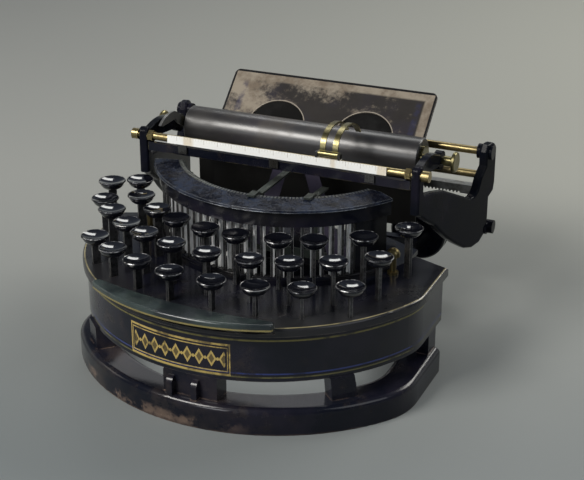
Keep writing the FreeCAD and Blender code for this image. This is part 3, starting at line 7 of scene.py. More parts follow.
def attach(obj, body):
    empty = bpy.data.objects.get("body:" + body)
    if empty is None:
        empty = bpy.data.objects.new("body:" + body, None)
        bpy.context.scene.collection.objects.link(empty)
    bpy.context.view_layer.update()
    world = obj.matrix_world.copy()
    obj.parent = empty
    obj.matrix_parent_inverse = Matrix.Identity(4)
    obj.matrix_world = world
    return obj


# Finishes, light and camera for a small typewriter with a curved keyboard, and a wing for its paper pan.
# Metres and degrees, in the part's own frame: X to the typist's right, Y away from the typist, Z up.

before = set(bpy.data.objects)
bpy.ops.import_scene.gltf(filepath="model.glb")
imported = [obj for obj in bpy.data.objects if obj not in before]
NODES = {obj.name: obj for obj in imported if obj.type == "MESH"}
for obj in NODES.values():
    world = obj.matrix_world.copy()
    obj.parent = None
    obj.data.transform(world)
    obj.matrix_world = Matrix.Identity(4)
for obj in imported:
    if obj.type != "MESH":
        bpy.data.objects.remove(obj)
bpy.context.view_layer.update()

# ---------------------------------------------------------------- sizes of the part that its finishes follow
BASE_HEIGHT = 0.0220
DECK_CENTRE = (-0.0025, 0.005)
DECK_RADIUS = 0.159
DECK_HALF_WIDTH = 0.151
DECK_TOP = 0.0875
LIP_FOOT = 0.0805
BASKET_CENTRE = (0.0, 0.050)
COVER_INNER = 0.095
COVER_FOOT = 0.1468
CAP_RADIUS = 0.0115
CAP_HEIGHT = 0.0072
RIM_WALL = 0.0009
RIM_HEIGHT = 0.0013
ROW_TOPS = {"front": 0.1125, "middle": 0.1236, "rear": 0.1300, "left": 0.1300, "right": 0.1300}
PLATEN_HALF = 0.1075
SCALE_FOOT = 0.1650
SCALE_TOP = 0.1716
TABLE_HALF = 0.0965
TABLE_TOP_Y = 0.1355
TABLE_TOP_Z = 0.1937
TABLE_LEAN = math.radians(42.5)
TABLE_THICK = 0.0020
ARCH_X = 0.0415
ARCH_RADIUS = 0.0268
PAN_FACE = 0.0845
PAN_FOOT = 0.0880

# ---------------------------------------------------------------- paint that is put on by measure
WEAR_TOP = BASE_HEIGHT + 0.0005
# height of the painted highlight patches low on the ring's front left
LOW_HIGHLIGHT = (0.0015, 0.0085)
APRON_TOP = LIP_FOOT - 0.0006
LIP_LINE = (0.0014, 0.0024)
LIP_LINE_FOOT = DECK_TOP - 0.0022
APRON_LINES = (
    # foot, top, colour, strength
    (0.0752, 0.0766, (0.17, 0.15, 0.045), 0.85),
    (0.0470, 0.0482, (0.030, 0.045, 0.16), 0.90),
    (0.0440, 0.0452, (0.13, 0.12, 0.045), 0.80),
)
PANEL_ANGLES = (-20.8, 12.3)
PANEL_HEIGHTS = (0.0445, 0.0715)
# shares of the panel's width and height, from its middle: the outer and the inner bound of each frame
PANEL_FRAME = ((0.500, 0.500), (0.488, 0.435))
PANEL_THIN_FRAME = ((0.478, 0.385), (0.472, 0.350))
PANEL_ROW = 0.455
LOZENGES = 9.0
HATCH_REACH = COVER_INNER + 0.0051
HATCH_FOOT = COVER_FOOT + 0.0030
CUTS_PER_RADIAN = 34.0
SPACE_RIM_REACH = 0.1654
SPACE_RIM_TOP = 0.0907
TICK_PITCH = 0.00254
TICK_HALF = 0.00014
LONG_TICK_HALF = 0.00020
TICK_FOOT = 0.1700
LONG_TICK_FOOT = 0.1680
SCALE_FRONT = 0.0024
TABLE_BORDER_FOOT = 0.18765
TABLE_BORDER_WIDTH = 0.0095
TABLE_LINE = (TABLE_HALF - 0.0165, TABLE_HALF - 0.0115)
TABLE_EDGE_WIDTH = 0.0020
TABLE_EDGE_FOOT = TABLE_TOP_Z - 0.0015
ARCH_CENTRE_DROP = 0.0539
ARCH_FOOT_DROP = 0.0535
ARCH_LINE_WIDTH = 0.0008
PAN_TOP = 0.1525

# ---------------------------------------------------------------- the added wing, the view and its floor
WING_OUTER = -0.1115
WING_INNER = -0.0960
WING_TOP = 0.1500
WING_CORNER = 0.0060
WING_EDGE = 0.0005
SMOOTH_ANGLE = 35.0
FLOOR_SIZE = 6.0
FLOOR_GAP = 0.0002
CAMERA_PLACE = (0.45365, -1.00152, 0.57134)
CAMERA_AZIMUTH = math.radians(23.54)
CAMERA_ELEVATION = math.radians(23.51)
CAMERA_LENS = 88.2
CAMERA_SENSOR = 36.0


# ---------------------------------------------------------------- shader toolkit
class Flow:
    """One output of a node. Python's operators on it add Math nodes."""

    def __init__(self, nodes, socket):
        self.nodes = nodes
        self.socket = socket

    def math(self, operation, *others):
        return self.nodes.node("Math", {"operation": operation}, dict(enumerate((self,) + others)))

    def __add__(self, other):
        return self.math("ADD", other)

    def __radd__(self, other):
        return self.math("ADD", other)

    def __sub__(self, other):
        return self.math("SUBTRACT", other)

    def __rsub__(self, other):
        return self.nodes.node("Math", {"operation": "SUBTRACT"}, {0: other, 1: self})

    def __mul__(self, other):
        return self.math("MULTIPLY", other)

    def __rmul__(self, other):
        return self.math("MULTIPLY", other)

    def __truediv__(self, other):
        return self.math("DIVIDE", other)

    def __pow__(self, other):
        return self.math("POWER", other)

    def __abs__(self):
        return self.math("ABSOLUTE")

    def __gt__(self, other):
        return self.math("GREATER_THAN", other)

    def __lt__(self, other):
        return self.math("LESS_THAN", other)

    def low(self, other):
        return self.math("MINIMUM", other)

    def high(self, other):
        return self.math("MAXIMUM", other)

    def step(self, start, end):
        """A smooth step from 0 at start to 1 at end. Start may be the larger one."""
        return self.nodes.node("MapRange", {"interpolation_type": "SMOOTHSTEP"},
                               {"Value": self, "From Min": start, "From Max": end})

    def band(self, low, high, soft):
        """1 between low and high, with soft sides."""
        return self.step(low - soft, low + soft) * self.step(high + soft, high - soft)

    def off_centre(self):
        """How far a repeating value is from the middle of its cell, 0 to 0.5."""
        return abs(self.math("FRACT") - 0.5)


class Nodes:
    """A node tree in which one method makes every node."""

    def __init__(self, tree):
        self.tree = tree

    def node(self, kind, settings=None, inputs=None, output=0):
        """A new node's output. Settings go first, then the values or links of its sockets."""
        made = self.tree.nodes.new("ShaderNode" + kind)
        for name, value in (settings or {}).items():
            setattr(made, name, value)
        for name, value in (inputs or {}).items():
            self.feed(made.inputs[name], value)
        return Flow(self, made.outputs[output])

    def feed(self, socket, value):
        """Links a flow to a socket, or sets the socket to a number, a vector or an opaque colour."""
        if isinstance(value, Flow):
            self.tree.links.new(value.socket, socket)
        elif isinstance(value, tuple) and len(value) < len(socket.default_value):
            socket.default_value = value + (1.0,)
        else:
            socket.default_value = value

    def parts(self, vector):
        """The three numbers of a vector."""
        split = self.node("SeparateXYZ", inputs={0: vector})
        return [Flow(self, output) for output in split.socket.node.outputs]

    def mix(self, factor, first, second):
        """The second colour over the first."""
        return self.node("Mix", {"data_type": "RGBA"}, {0: factor, 6: first, 7: second}, output=2)


class Finish(Nodes):
    """A procedural material that reads Object coordinates."""

    def __init__(self, name):
        self.material = bpy.data.materials.new(name)
        self.material.use_nodes = True
        super().__init__(self.material.node_tree)
        self.shader = self.tree.nodes["Principled BSDF"]
        self.point = self.node("TexCoord", output="Object")
        self.x, self.y, self.z = self.parts(self.point)

    def noise(self, scale, detail=4.0, roughness=0.55, where=None):
        return self.node("TexNoise", {}, {"Vector": where or self.point, "Scale": scale,
                                          "Detail": detail, "Roughness": roughness})

    def patches(self, scale, detail, roughness, start, end):
        """Noise cut to soft-edged patches of 0 and 1."""
        return self.noise(scale, detail, roughness).step(start, end)

    def stretched(self, x, y, z):
        return self.node("Mapping", {}, {"Vector": self.point, "Scale": (x, y, z)})

    def edges(self, width, samples=6):
        """About 1 along sharp edges and 0 on flat faces."""
        rounded = self.node("Bevel", {"samples": samples}, {"Radius": width})
        flat = self.node("NewGeometry", output="Normal")
        same = self.node("VectorMath", {"operation": "DOT_PRODUCT"}, {0: rounded, 1: flat}, output="Value")
        return (1.0 - same).step(0.01, 0.22)

    def from_centre(self, centre):
        """How far right of an upright axis a point is, and how far in front of it."""
        return self.x - centre[0], centre[1] - self.y

    def reach(self, centre):
        """How far a point is from an upright axis."""
        right, ahead = self.from_centre(centre)
        return (right * right + ahead * ahead) ** 0.5

    def angle(self, centre):
        """The angle round an upright axis in radians: 0 in front of it, and more to the right."""
        right, ahead = self.from_centre(centre)
        return right.math("ARCTAN2", ahead)

    def bump(self, height, distance, strength):
        self.feed(self.shader.inputs["Normal"],
                  self.node("Bump", {}, {"Height": height, "Distance": distance, "Strength": strength}))

    def surface(self, colour, roughness, metallic=0.0, coat=0.0, coat_roughness=0.1, specular=0.5):
        self.feed(self.shader.inputs["Base Color"], colour)
        self.feed(self.shader.inputs["Roughness"], roughness)
        self.feed(self.shader.inputs["Metallic"], metallic)
        self.feed(self.shader.inputs["Coat Weight"], coat)
        self.shader.inputs["Coat Roughness"].default_value = coat_roughness
        self.shader.inputs["Specular IOR Level"].default_value = specular
        return self.material


# ---------------------------------------------------------------- enamel
NAVY_BLACK = (0.0045, 0.0055, 0.0105)
VIOLET_BLACK = (0.012, 0.011, 0.019)
WORN_BROWN = (0.034, 0.025, 0.019)
BARE_IRON = (0.17, 0.145, 0.125)
GOLD_LINE = (0.42, 0.31, 0.10)


def enamel_base(finish, brown):
    """Old black enamel: violet clouds, brown thin places, a fine grain. Gives colour, roughness, height."""
    cloud = finish.patches(16.0, 5.0, 0.6, 0.42, 0.68)
    thin = finish.patches(38.0, 7.0, 0.68, 0.54, 0.74) * brown
    grain = finish.noise(420.0, 3.0, 0.6)
    colour = finish.mix(cloud, NAVY_BLACK, VIOLET_BLACK)
    colour = finish.mix(thin, colour, WORN_BROWN)
    roughness = 0.15 + 0.10 * cloud + 0.18 * thin + 0.04 * grain
    height = 0.4 * grain + 0.6 * cloud - 0.7 * thin
    return colour, roughness, height


def enamel(name, edge, edge_share=0.8, brown=0.5, tint=None, tint_share=0.0, bare=BARE_IRON, gloss=0.2):
    """Black enamel that may be clouded with a tint, rubbed bare in places along its edges."""
    finish = Finish(name)
    colour, roughness, height = enamel_base(finish, brown)
    if tint:
        colour = finish.mix(finish.patches(22.0, 6.0, 0.65, 0.38, 0.66) * tint_share, colour, tint)
    rubbed = finish.edges(edge) * finish.patches(95.0, 5.0, 0.7, 0.44, 0.62) * edge_share
    colour = finish.mix(rubbed, colour, bare)
    finish.bump(height - 0.8 * rubbed, 0.00012, 0.6)
    return finish.surface(colour, roughness, 0.7 * rubbed, gloss, 0.14, gloss)


def base_enamel():
    """The ring's enamel, worn to warm metal along its upper edge, with a painted highlight on its front
    left: stronger wear there, a warm sheen and bright metal-coloured patches low down.
    """
    finish = Finish("base_enamel")
    colour, roughness, height = enamel_base(finish, 0.55)
    edge = finish.edges(0.0030) * finish.patches(60.0, 5.0, 0.7, 0.40, 0.58)
    edge = edge * finish.z.step(WEAR_TOP + 0.0003, WEAR_TOP - 0.0003)
    # painted highlight on the front left, where the lamps light the ring: stronger edge wear, a warm sheen
    # and bright patches low down
    lit_front_left = finish.y.step(-0.02, -0.09) * finish.x.step(0.06, -0.02)
    low = finish.z.band(*LOW_HIGHLIGHT, 0.0030) * finish.patches(34.0, 6.0, 0.7, 0.46, 0.60)
    warm_sheen = finish.patches(26.0, 6.0, 0.68, 0.44, 0.66) * lit_front_left * 0.55
    wear_and_highlight = (edge * (0.35 + 0.65 * lit_front_left)).high(low * lit_front_left * 0.9)
    metal_shade = finish.mix(finish.noise(150.0, 5.0, 0.7), (0.10, 0.072, 0.060), (0.42, 0.30, 0.23))
    colour = finish.mix(warm_sheen, colour, (0.042, 0.033, 0.030))
    colour = finish.mix(wear_and_highlight, colour, metal_shade)
    finish.bump(height - 0.8 * wear_and_highlight, 0.00015, 0.6)
    return finish.surface(colour, roughness + 0.10 * wear_and_highlight, 0.75 * wear_and_highlight, 0.2, 0.14, 0.2)


def deck_enamel():
    """The deck's enamel, with a painted reflection on its top: paler grey and duller near its edges, navy
    patches further in; with lines round the lip and the apron.
    """
    finish = Finish("deck_enamel")
    colour, roughness, height = enamel_base(finish, 0.55)
    from_side = DECK_HALF_WIDTH - abs(finish.x - DECK_CENTRE[0])
    inside = (DECK_RADIUS - finish.reach(DECK_CENTRE)).low(from_side)
    top = finish.z > LIP_FOOT
    # painted reflection of the sky: paler grey near the top's edges, which are also rougher, and navy in
    # patches further in
    dull_and_sheen = inside.step(0.040, 0.006) * (0.35 + 0.65 * finish.patches(9.0, 4.0, 0.6, 0.36, 0.62)) * top
    navy_sheen = inside.step(0.010, 0.050) * finish.patches(13.0, 5.0, 0.65, 0.34, 0.58) * top
    colour = finish.mix(navy_sheen * 0.8, colour, (0.0065, 0.0070, 0.0150))
    colour = finish.mix(dull_and_sheen * 0.75, colour, (0.021, 0.021, 0.021))
    worn_line = 0.30 + 0.70 * finish.patches(60.0, 5.0, 0.7, 0.36, 0.52)
    lip_line = inside.band(*LIP_LINE, 0.0003) * (finish.z > LIP_LINE_FOOT)
    colour = finish.mix(lip_line * worn_line * 0.75, colour, (0.36, 0.31, 0.16))
    apron = finish.z < APRON_TOP
    for foot, line_top, shade, share in APRON_LINES:
        line = finish.z.band(foot, line_top, 0.00035) * apron
        colour = finish.mix(line * worn_line * share, colour, shade)
    colour = finish.mix(panel_pattern(finish) * apron * worn_line, colour, GOLD_LINE)
    rubbed = finish.edges(0.0014) * finish.patches(70.0, 5.0, 0.7, 0.40, 0.60) * 0.75
    colour = finish.mix(rubbed, colour, BARE_IRON)
    finish.bump(height - 0.8 * rubbed, 0.00012, 0.6)
    return finish.surface(colour, roughness + 0.14 * dull_and_sheen, 0.6 * rubbed, 0.3, 0.16, 0.3)


def panel_pattern(finish):
    """A double gold frame round a row of lozenges and dots, on the left of the apron's front."""
    first, last = PANEL_ANGLES
    foot, top = PANEL_HEIGHTS
    along = (finish.angle(DECK_CENTRE) * (180.0 / math.pi) - first) / (last - first)
    half_u = abs(along - 0.5)
    half_v = abs((finish.z - foot) / (top - foot) - 0.5)

    def within(bound):
        return (half_u < bound[0]) * (half_v < bound[1])

    frames = [within(outer) * (1.0 - within(inner)) for outer, inner in (PANEL_FRAME, PANEL_THIN_FRAME)]
    cell = (along * LOZENGES).off_centre() * 2.0
    slant = cell * 1.15 + half_v * 3.6
    lozenge = (slant < 0.93) - (slant < 0.55) * 0.75
    dot = ((1.0 - cell) ** 2.0 + (half_v * 4.2) ** 2.0) < 0.05
    row = (half_u < PANEL_ROW) * lozenge.high(dot)
    return frames[0].high(frames[1]).high(row)


def crescent_enamel():
    """Mottled blue-grey enamel, bare along the outer edge, with fine radial cuts along the inner one."""
    finish = Finish("crescent_enamel")
    blue = finish.patches(48.0, 7.0, 0.78, 0.44, 0.60)
    spots = finish.patches(160.0, 4.0, 0.7, 0.48, 0.62)
    colour = finish.mix(blue, (0.004, 0.005, 0.010), (0.021, 0.028, 0.048))
    colour = finish.mix(spots * 0.6, colour, (0.010, 0.010, 0.014))
    inner = finish.reach(BASKET_CENTRE).step(HATCH_REACH + 0.0005, HATCH_REACH - 0.0005)
    clearer_left = 0.35 + 0.65 * finish.x.step(-0.010, -0.040)
    cuts = (finish.angle(BASKET_CENTRE) * CUTS_PER_RADIAN).off_centre().step(0.12, 0.26)
    cuts = cuts * inner * (finish.z > HATCH_FOOT) * clearer_left
    colour = finish.mix(cuts * 0.85, colour, (0.19, 0.20, 0.18))
    rubbed = finish.edges(0.0012) * finish.patches(80.0, 5.0, 0.7, 0.36, 0.54)
    colour = finish.mix(rubbed, colour, (0.24, 0.26, 0.28))
    finish.bump(blue * 0.5 + spots * 0.4 - rubbed - cuts * 1.5, 0.00025, 0.7)
    return finish.surface(colour, 0.17 + 0.16 * spots, (0.6 * rubbed).high(cuts * 0.4), 0.03, 0.14, 0.06)


def space_bar_enamel():
    """Green-black enamel, rubbed to a thin bright line along the front rim."""
    finish = Finish("space_bar_enamel")
    colour, roughness, height = enamel_base(finish, 0.2)
    green = finish.patches(30.0, 5.0, 0.6, 0.36, 0.62)
    colour = finish.mix(0.35 + 0.65 * green, colour, (0.038, 0.052, 0.049))
    outer = finish.reach(DECK_CENTRE).step(SPACE_RIM_REACH - 0.0002, SPACE_RIM_REACH + 0.0002)
    below = finish.z.step(SPACE_RIM_TOP + 0.0002, SPACE_RIM_TOP - 0.0002)
    rim = outer * below * (0.45 + 0.55 * finish.patches(70.0, 5.0, 0.7, 0.38, 0.50))
    colour = finish.mix(rim, colour, (0.56, 0.45, 0.18))
    finish.bump(height - 0.5 * rim, 0.0002, 0.5)
    return finish.surface(colour, roughness - 0.08 * rim, 0.85 * rim, 0.4, 0.12, 0.35)


# ---------------------------------------------------------------- metals
def metal(name, clean, stain, roughness, stain_scale=55.0, stain_share=0.75, streak=(1.0, 1.0, 1.0),
          shine=0.95):
    """Bare metal with soft stains, brighter edges and fine streaks that run where streak is small."""
    finish = Finish(name)
    stained = finish.patches(stain_scale, 6.0, 0.65, 0.44, 0.66) * stain_share
    lines = finish.noise(900.0, 2.0, 0.5, where=finish.stretched(*streak))
    bright = tuple(min(1.0, channel * 1.7) for channel in clean)
    colour = finish.mix(stained, clean, stain)
    colour = finish.mix(finish.edges(0.0006, 4) * 0.5, colour, bright)
    finish.bump(lines * 0.6 - stained * 0.4, 0.00008, 0.6)
    return finish.surface(colour, roughness + 0.22 * stained + 0.1 * lines, shine - 0.35 * stained)


def key_finish(name, centre, top):
    """One key: a polished black bowl with a dark rim that carries painted glints here and there and a
    painted darker outer wall, and dull steel below.
    """
    finish = Finish(name)
    reach = finish.reach(centre)
    cap = (finish.z > top - CAP_HEIGHT - 0.0001) * (reach < CAP_RADIUS + 0.001)
    rim = (reach > CAP_RADIUS - RIM_WALL + 0.00005) * (finish.z > top - RIM_HEIGHT - 0.00002) * cap
    dust = finish.patches(300.0, 5.0, 0.7, 0.55, 0.80)
    black = finish.mix(dust * 0.35, (0.0045, 0.005, 0.008), (0.030, 0.029, 0.028))
    stain = finish.patches(160.0, 5.0, 0.65, 0.38, 0.60)
    steel = finish.mix(stain, (0.13, 0.13, 0.135), (0.026, 0.026, 0.028))
    steel = finish.mix(finish.edges(0.0005, 4) * 0.8, steel, (0.50, 0.49, 0.46))
    # painted highlight: bright glints in patches on the dark rim
    painted_glint = finish.patches(210.0, 3.0, 0.6, 0.50, 0.60)
    rim_steel = finish.mix(painted_glint, (0.020, 0.021, 0.025), (0.30, 0.30, 0.30))
    # painted shade: the rim's outer wall below its top is darker
    rim_steel = finish.mix(finish.z.step(top + 0.0002, top - 0.0004), rim_steel, (0.014, 0.015, 0.020))
    colour = finish.mix(rim, finish.mix(cap, steel, black), rim_steel)
    bare = (1.0 - cap).high(rim)
    finish.bump(dust * 0.3 + stain * bare, 0.00006, 0.4)
    roughness = (0.10 + 0.16 * dust) * (1.0 - bare) + (0.30 + 0.2 * stain) * bare
    return finish.surface(colour, roughness, bare * (0.92 - 0.3 * stain), 1.0 - bare, 0.08, 0.6)


# ---------------------------------------------------------------- rubber, paint and cloth
def roller_rubber():
    """Grey rubber with brown and violet blotches, with painted shade darkening it towards its ends beside a
    lit middle, and black on its end faces.
    """
    finish = Finish("roller_rubber")
    blotch = finish.patches(24.0, 6.0, 0.7, 0.45, 0.66)
    violet = finish.patches(11.0, 4.0, 0.6, 0.46, 0.64)
    speck = finish.noise(300.0, 4.0, 0.7)
    rings = finish.noise(500.0, 2.0, 0.5, where=finish.stretched(1.0, 0.05, 0.05))
    colour = finish.mix(violet * 0.8, (0.036, 0.035, 0.037), (0.034, 0.029, 0.038))
    colour = finish.mix(blotch * 0.6, colour, (0.060, 0.049, 0.038))
    colour = finish.mix(speck.step(0.60, 0.75) * 0.4, colour, (0.17, 0.17, 0.17))
    # painted shade: darker and less glossy towards both ends
    shaded_duller_ends = abs(finish.x).step(PLATEN_HALF - 0.080, PLATEN_HALF - 0.020)
    colour = finish.mix(shaded_duller_ends * 0.75, colour, (0.014, 0.013, 0.013))
    colour = finish.mix(abs(finish.x) > PLATEN_HALF - 0.0009, colour, (0.006, 0.006, 0.007))
    finish.bump(speck * 0.2 + rings * 0.3 - blotch * 0.3, 0.00012, 0.6)
    return finish.surface(colour, 0.34 + 0.16 * blotch, 0.0, 0.5 - 0.35 * shaded_duller_ends, 0.26)


def scale_cream():
    """Cream enamel with faint brown graduations, every fifth one longer."""
    finish = Finish("scale_cream")

    def ticks(pitch, half, foot):
        return ((finish.x / pitch + 0.5).off_centre() * pitch < half) * (finish.z > foot)

    short = ticks(TICK_PITCH, TICK_HALF, TICK_FOOT) * 0.30
    long = ticks(5.0 * TICK_PITCH, LONG_TICK_HALF, LONG_TICK_FOOT) * 0.45
    dirt = finish.patches(70.0, 6.0, 0.7, 0.54, 0.74)
    brass = finish.noise(34.0, 3.0, 0.6, where=finish.stretched(1.0, 0.1, 0.1)).step(0.60, 0.70)
    face = finish.z.band(SCALE_FOOT, SCALE_TOP + 0.0002, 0.0002)
    colour = finish.mix(dirt * 0.25, (1.0, 1.0, 0.96), (0.62, 0.50, 0.30))
    colour = finish.mix(brass * 0.45, colour, (0.66, 0.48, 0.20))
    colour = finish.mix(short.high(long) * (finish.y < SCALE_FRONT), colour, (0.20, 0.12, 0.05))
    colour = finish.mix(1.0 - face, colour, (0.014, 0.013, 0.011))
    finish.bump(dirt, 0.00008, 0.5)
    return finish.surface(colour, 0.24 + 0.2 * dirt, 0.0, 0.8, 0.12, 0.8)


def table_paint():
    """Cream paint gone dark in clouds, blue side lines, black edges, and recesses with pale rims; the recess
    floors, the back and the part below the pan's top are painted near black as shade.
    """
    finish = Finish("table_paint")
    side = abs(finish.x)
    top_border = finish.z.step(TABLE_BORDER_FOOT - 0.00085, TABLE_BORDER_FOOT + 0.00085)
    inner = TABLE_HALF - TABLE_BORDER_WIDTH
    border = top_border.high(finish.x.step(inner - 0.0010, inner + 0.0010))
    border = border * (0.55 + 0.45 * finish.patches(45.0, 5.0, 0.65, 0.30, 0.46))
    clean_left = finish.x.step(-0.030, -0.075) * 0.09
    dark = (finish.noise(17.0, 7.0, 0.72) - clean_left).step(0.37, 0.50) * (1.0 - border)
    brown = finish.patches(40.0, 6.0, 0.7, 0.40, 0.64)
    violet = finish.patches(12.0, 3.0, 0.5, 0.48, 0.62)
    colour = finish.mix(brown, (0.29, 0.25, 0.195), (0.17, 0.135, 0.10))
    colour = finish.mix(dark * 0.96, colour, (0.012, 0.010, 0.010))
    colour = finish.mix(violet * dark * 0.7, colour, (0.026, 0.022, 0.038))
    line = side.band(*TABLE_LINE, 0.0012) * finish.z.step(0.1880, 0.1830)
    line = line * finish.patches(80.0, 5.0, 0.7, 0.38, 0.56)
    colour = finish.mix(line * 0.5, colour, (0.026, 0.028, 0.075))
    edge = (side > TABLE_HALF - TABLE_EDGE_WIDTH).high(finish.z > TABLE_EDGE_FOOT)
    colour = finish.mix(edge, colour, (0.006, 0.006, 0.007))
    back = finish.y - TABLE_TOP_Y
    below = TABLE_TOP_Z - finish.z
    depth = back * math.sin(TABLE_LEAN) + below * math.cos(TABLE_LEAN)
    drop = below * math.sin(TABLE_LEAN) - back * math.cos(TABLE_LEAN)
    across = abs(side - ARCH_X)
    from_crown = drop - ARCH_CENTRE_DROP
    bow = (across * across + from_crown * from_crown) ** 0.5
    upper = drop < ARCH_FOOT_DROP
    arch_line = bow.band(ARCH_RADIUS, ARCH_RADIUS + ARCH_LINE_WIDTH, 0.00015) * upper
    colour = finish.mix(arch_line * 0.8, colour, (0.42, 0.37, 0.30))
    recess = (bow < ARCH_RADIUS) * upper * (depth > 0.0003)
    # painted shade: near black on the recess floors, on the back face and below the pan's top
    shaded_recess_and_back = recess.high(depth > 0.7 * TABLE_THICK).high(finish.z < PAN_TOP)
    colour = finish.mix(shaded_recess_and_back, colour, (0.004, 0.0038, 0.0035))
    rubbed = finish.edges(0.0008) * 0.4 * (1.0 - shaded_recess_and_back)
    colour = finish.mix(rubbed, colour, (0.30, 0.26, 0.20))
    finish.bump(brown * 0.5 - dark, 0.0002, 0.6)
    roughness = 0.36 + 0.2 * dark + 0.3 * shaded_recess_and_back
    return finish.surface(colour, roughness, 0.0, 0.3 * (1.0 - shaded_recess_and_back), 0.25, 0.2)


def ribbon_cloth():
    """Woven violet-black ribbon."""
    finish = Finish("ribbon_cloth")
    warp, weft = (finish.node("TexWave", {"wave_type": "BANDS", "bands_direction": direction},
                              {"Vector": finish.point, "Scale": 900.0}, output="Fac")
                  for direction in ("X", "Z"))
    fade = finish.noise(60.0, 4.0, 0.6)
    finish.bump(warp * weft, 0.0001, 0.6)
    return finish.surface(finish.mix(fade, (0.012, 0.010, 0.022), (0.045, 0.036, 0.070)), 0.75 + 0.1 * fade)


# ---------------------------------------------------------------- dressing the CAD nodes
def dress(names, material):
    for name in names:
        slots = NODES[name].data.materials
        for index in range(len(slots)):
            slots[index] = material


def dress_keys():
    """Gives every key a finish of its own, centred on the key's rim."""
    for name in NODES:
        if name.startswith("key_"):
            top = ROW_TOPS[name.split("_")[1]]
            rim_middle = top - RIM_HEIGHT / 2
            points = [vertex.co for vertex in NODES[name].data.vertices]
            rim = [point for point in points if abs(point.z - rim_middle) < RIM_HEIGHT]
            centre = [(min(p[axis] for p in rim) + max(p[axis] for p in rim)) / 2 for axis in (0, 1)]
            dress([name], key_finish(name + "_finish", centre, top))


def dress_frame():
    """The castings, the space bar and the typebar basket."""
    dress(["base_ring"], base_enamel())
    dress(["deck_casting"], deck_enamel())
    dress(["space_bar"], space_bar_enamel())
    dress(["crescent_cover"], crescent_enamel())
    dress(["basket_frame"], enamel("basket_enamel", 0.0008, edge_share=0.15, brown=0.3, gloss=0.08,
                                   tint=(0.0120, 0.0115, 0.0115), tint_share=0.9))
    dress(["rear_column", "mainspring_drum"], enamel("frame_enamel", 0.001, edge_share=0.4))
    dress(["resting_typebars", "typebar_left", "typebar_right", "fulcrum_wire"],
          metal("typebar_steel", (0.88, 0.89, 0.90), (0.34, 0.33, 0.32), 0.36, 120.0, 0.3,
                streak=(1.0, 1.0, 0.03), shine=0.25))
    dress(["thumb_nuts"], metal("nut_brass", (0.15, 0.12, 0.055), (0.040, 0.032, 0.018), 0.3))
    dress(["ribbon_guide"], metal("guide_steel", (0.060, 0.070, 0.064), (0.030, 0.030, 0.024), 0.4))
    dress(["ribbon_spool_left", "ribbon_spool_right"], enamel("spool_enamel", 0.0006, edge_share=0.9))
    dress(["ribbon"], ribbon_cloth())
    dress(["bell"], metal("bell_nickel", (0.60, 0.58, 0.52), (0.20, 0.17, 0.12), 0.22))


def dress_carriage():
    """The pieces that slide with the platen, and the wheel that their rack turns."""
    dress(["end_plate_left", "end_plate_right"],
          enamel("plate_enamel", 0.0022, edge_share=0.30, brown=0.2, gloss=0.03,
                 tint=(0.006, 0.007, 0.007), tint_share=0.6, bare=(0.10, 0.105, 0.10)))
    dress(["carriage_beam"],
          enamel("beam_enamel", 0.0008, edge_share=0.9, brown=0.9, bare=(0.20, 0.17, 0.08)))
    dress(["paper_table"], table_paint())
    dress(["scale_bar"], scale_cream())
    dress(["platen", "feed_roller"], roller_rubber())
    dress(["platen_knobs", "paper_finger"],
          metal("fitting_brass", (0.20, 0.175, 0.085), (0.045, 0.038, 0.018), 0.24))
    dress(["front_rod", "rear_rods"],
          metal("rod_brass", (0.30, 0.24, 0.115), (0.070, 0.055, 0.028), 0.26, streak=(0.02, 1.0, 1.0)))
    dress(["steel_rail", "escapement_wheel", "line_space_lever"],
          metal("bright_steel", (0.30, 0.30, 0.29), (0.080, 0.070, 0.055), 0.3, streak=(0.02, 1.0, 1.0)))


# ---------------------------------------------------------------- the added piece
def deselect():
    bpy.ops.object.select_all(action="DESELECT")


def select_edges(piece, wanted):
    """Selects the edges whose two ends pass a test, in edit mode."""
    bpy.ops.mesh.select_all(action="DESELECT")
    bpy.ops.object.mode_set(mode="OBJECT")
    points = piece.data.vertices
    for edge in piece.data.edges:
        edge.select = wanted(*(points[index].co for index in edge.vertices))
    bpy.ops.object.mode_set(mode="EDIT")


def pan_wing():
    """A thin plate that widens the pan behind the platen on its left, with rounded outer corners."""
    deselect()
    size = (WING_INNER - WING_OUTER, TABLE_THICK, WING_TOP - PAN_FOOT)
    middle = ((WING_INNER + WING_OUTER) / 2, PAN_FACE + TABLE_THICK / 2, (PAN_FOOT + WING_TOP) / 2)
    bpy.ops.mesh.primitive_cube_add(size=1.0, location=middle, scale=size)
    wing = bpy.context.active_object
    wing.name = "pan_wing"
    bpy.ops.object.transform_apply(location=True, rotation=True, scale=True)
    bpy.ops.object.mode_set(mode="EDIT")
    bpy.ops.mesh.select_mode(type="EDGE")
    select_edges(wing, lambda a, b: max(a.x, b.x) < WING_OUTER + 1e-5 and abs(a.y - b.y) > 1e-4)
    bpy.ops.mesh.bevel(offset=WING_CORNER, segments=6)
    bpy.ops.object.mode_set(mode="OBJECT")
    rounded = wing.modifiers.new("edge", "BEVEL")
    rounded.width = WING_EDGE
    rounded.segments = 2
    bpy.ops.object.modifier_apply(modifier=rounded.name)
    bpy.ops.object.shade_smooth_by_angle(angle=math.radians(SMOOTH_ANGLE))
    wing.data.materials.append(bpy.data.materials["table_paint"])
    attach(wing, "carriage")


# ---------------------------------------------------------------- light, floor and camera
def area_light(name, place, target, size, power, tint=(1.0, 1.0, 1.0)):
    lamp = bpy.data.lights.new(name, "AREA")
    lamp.shape = "RECTANGLE"
    lamp.size, lamp.size_y = size
    lamp.energy = power
    lamp.color = tint
    holder = bpy.data.objects.new(name, lamp)
    bpy.context.scene.collection.objects.link(holder)
    holder.location = place
    holder.rotation_euler = (Vector(target) - Vector(place)).to_track_quat("-Z", "Y").to_euler()


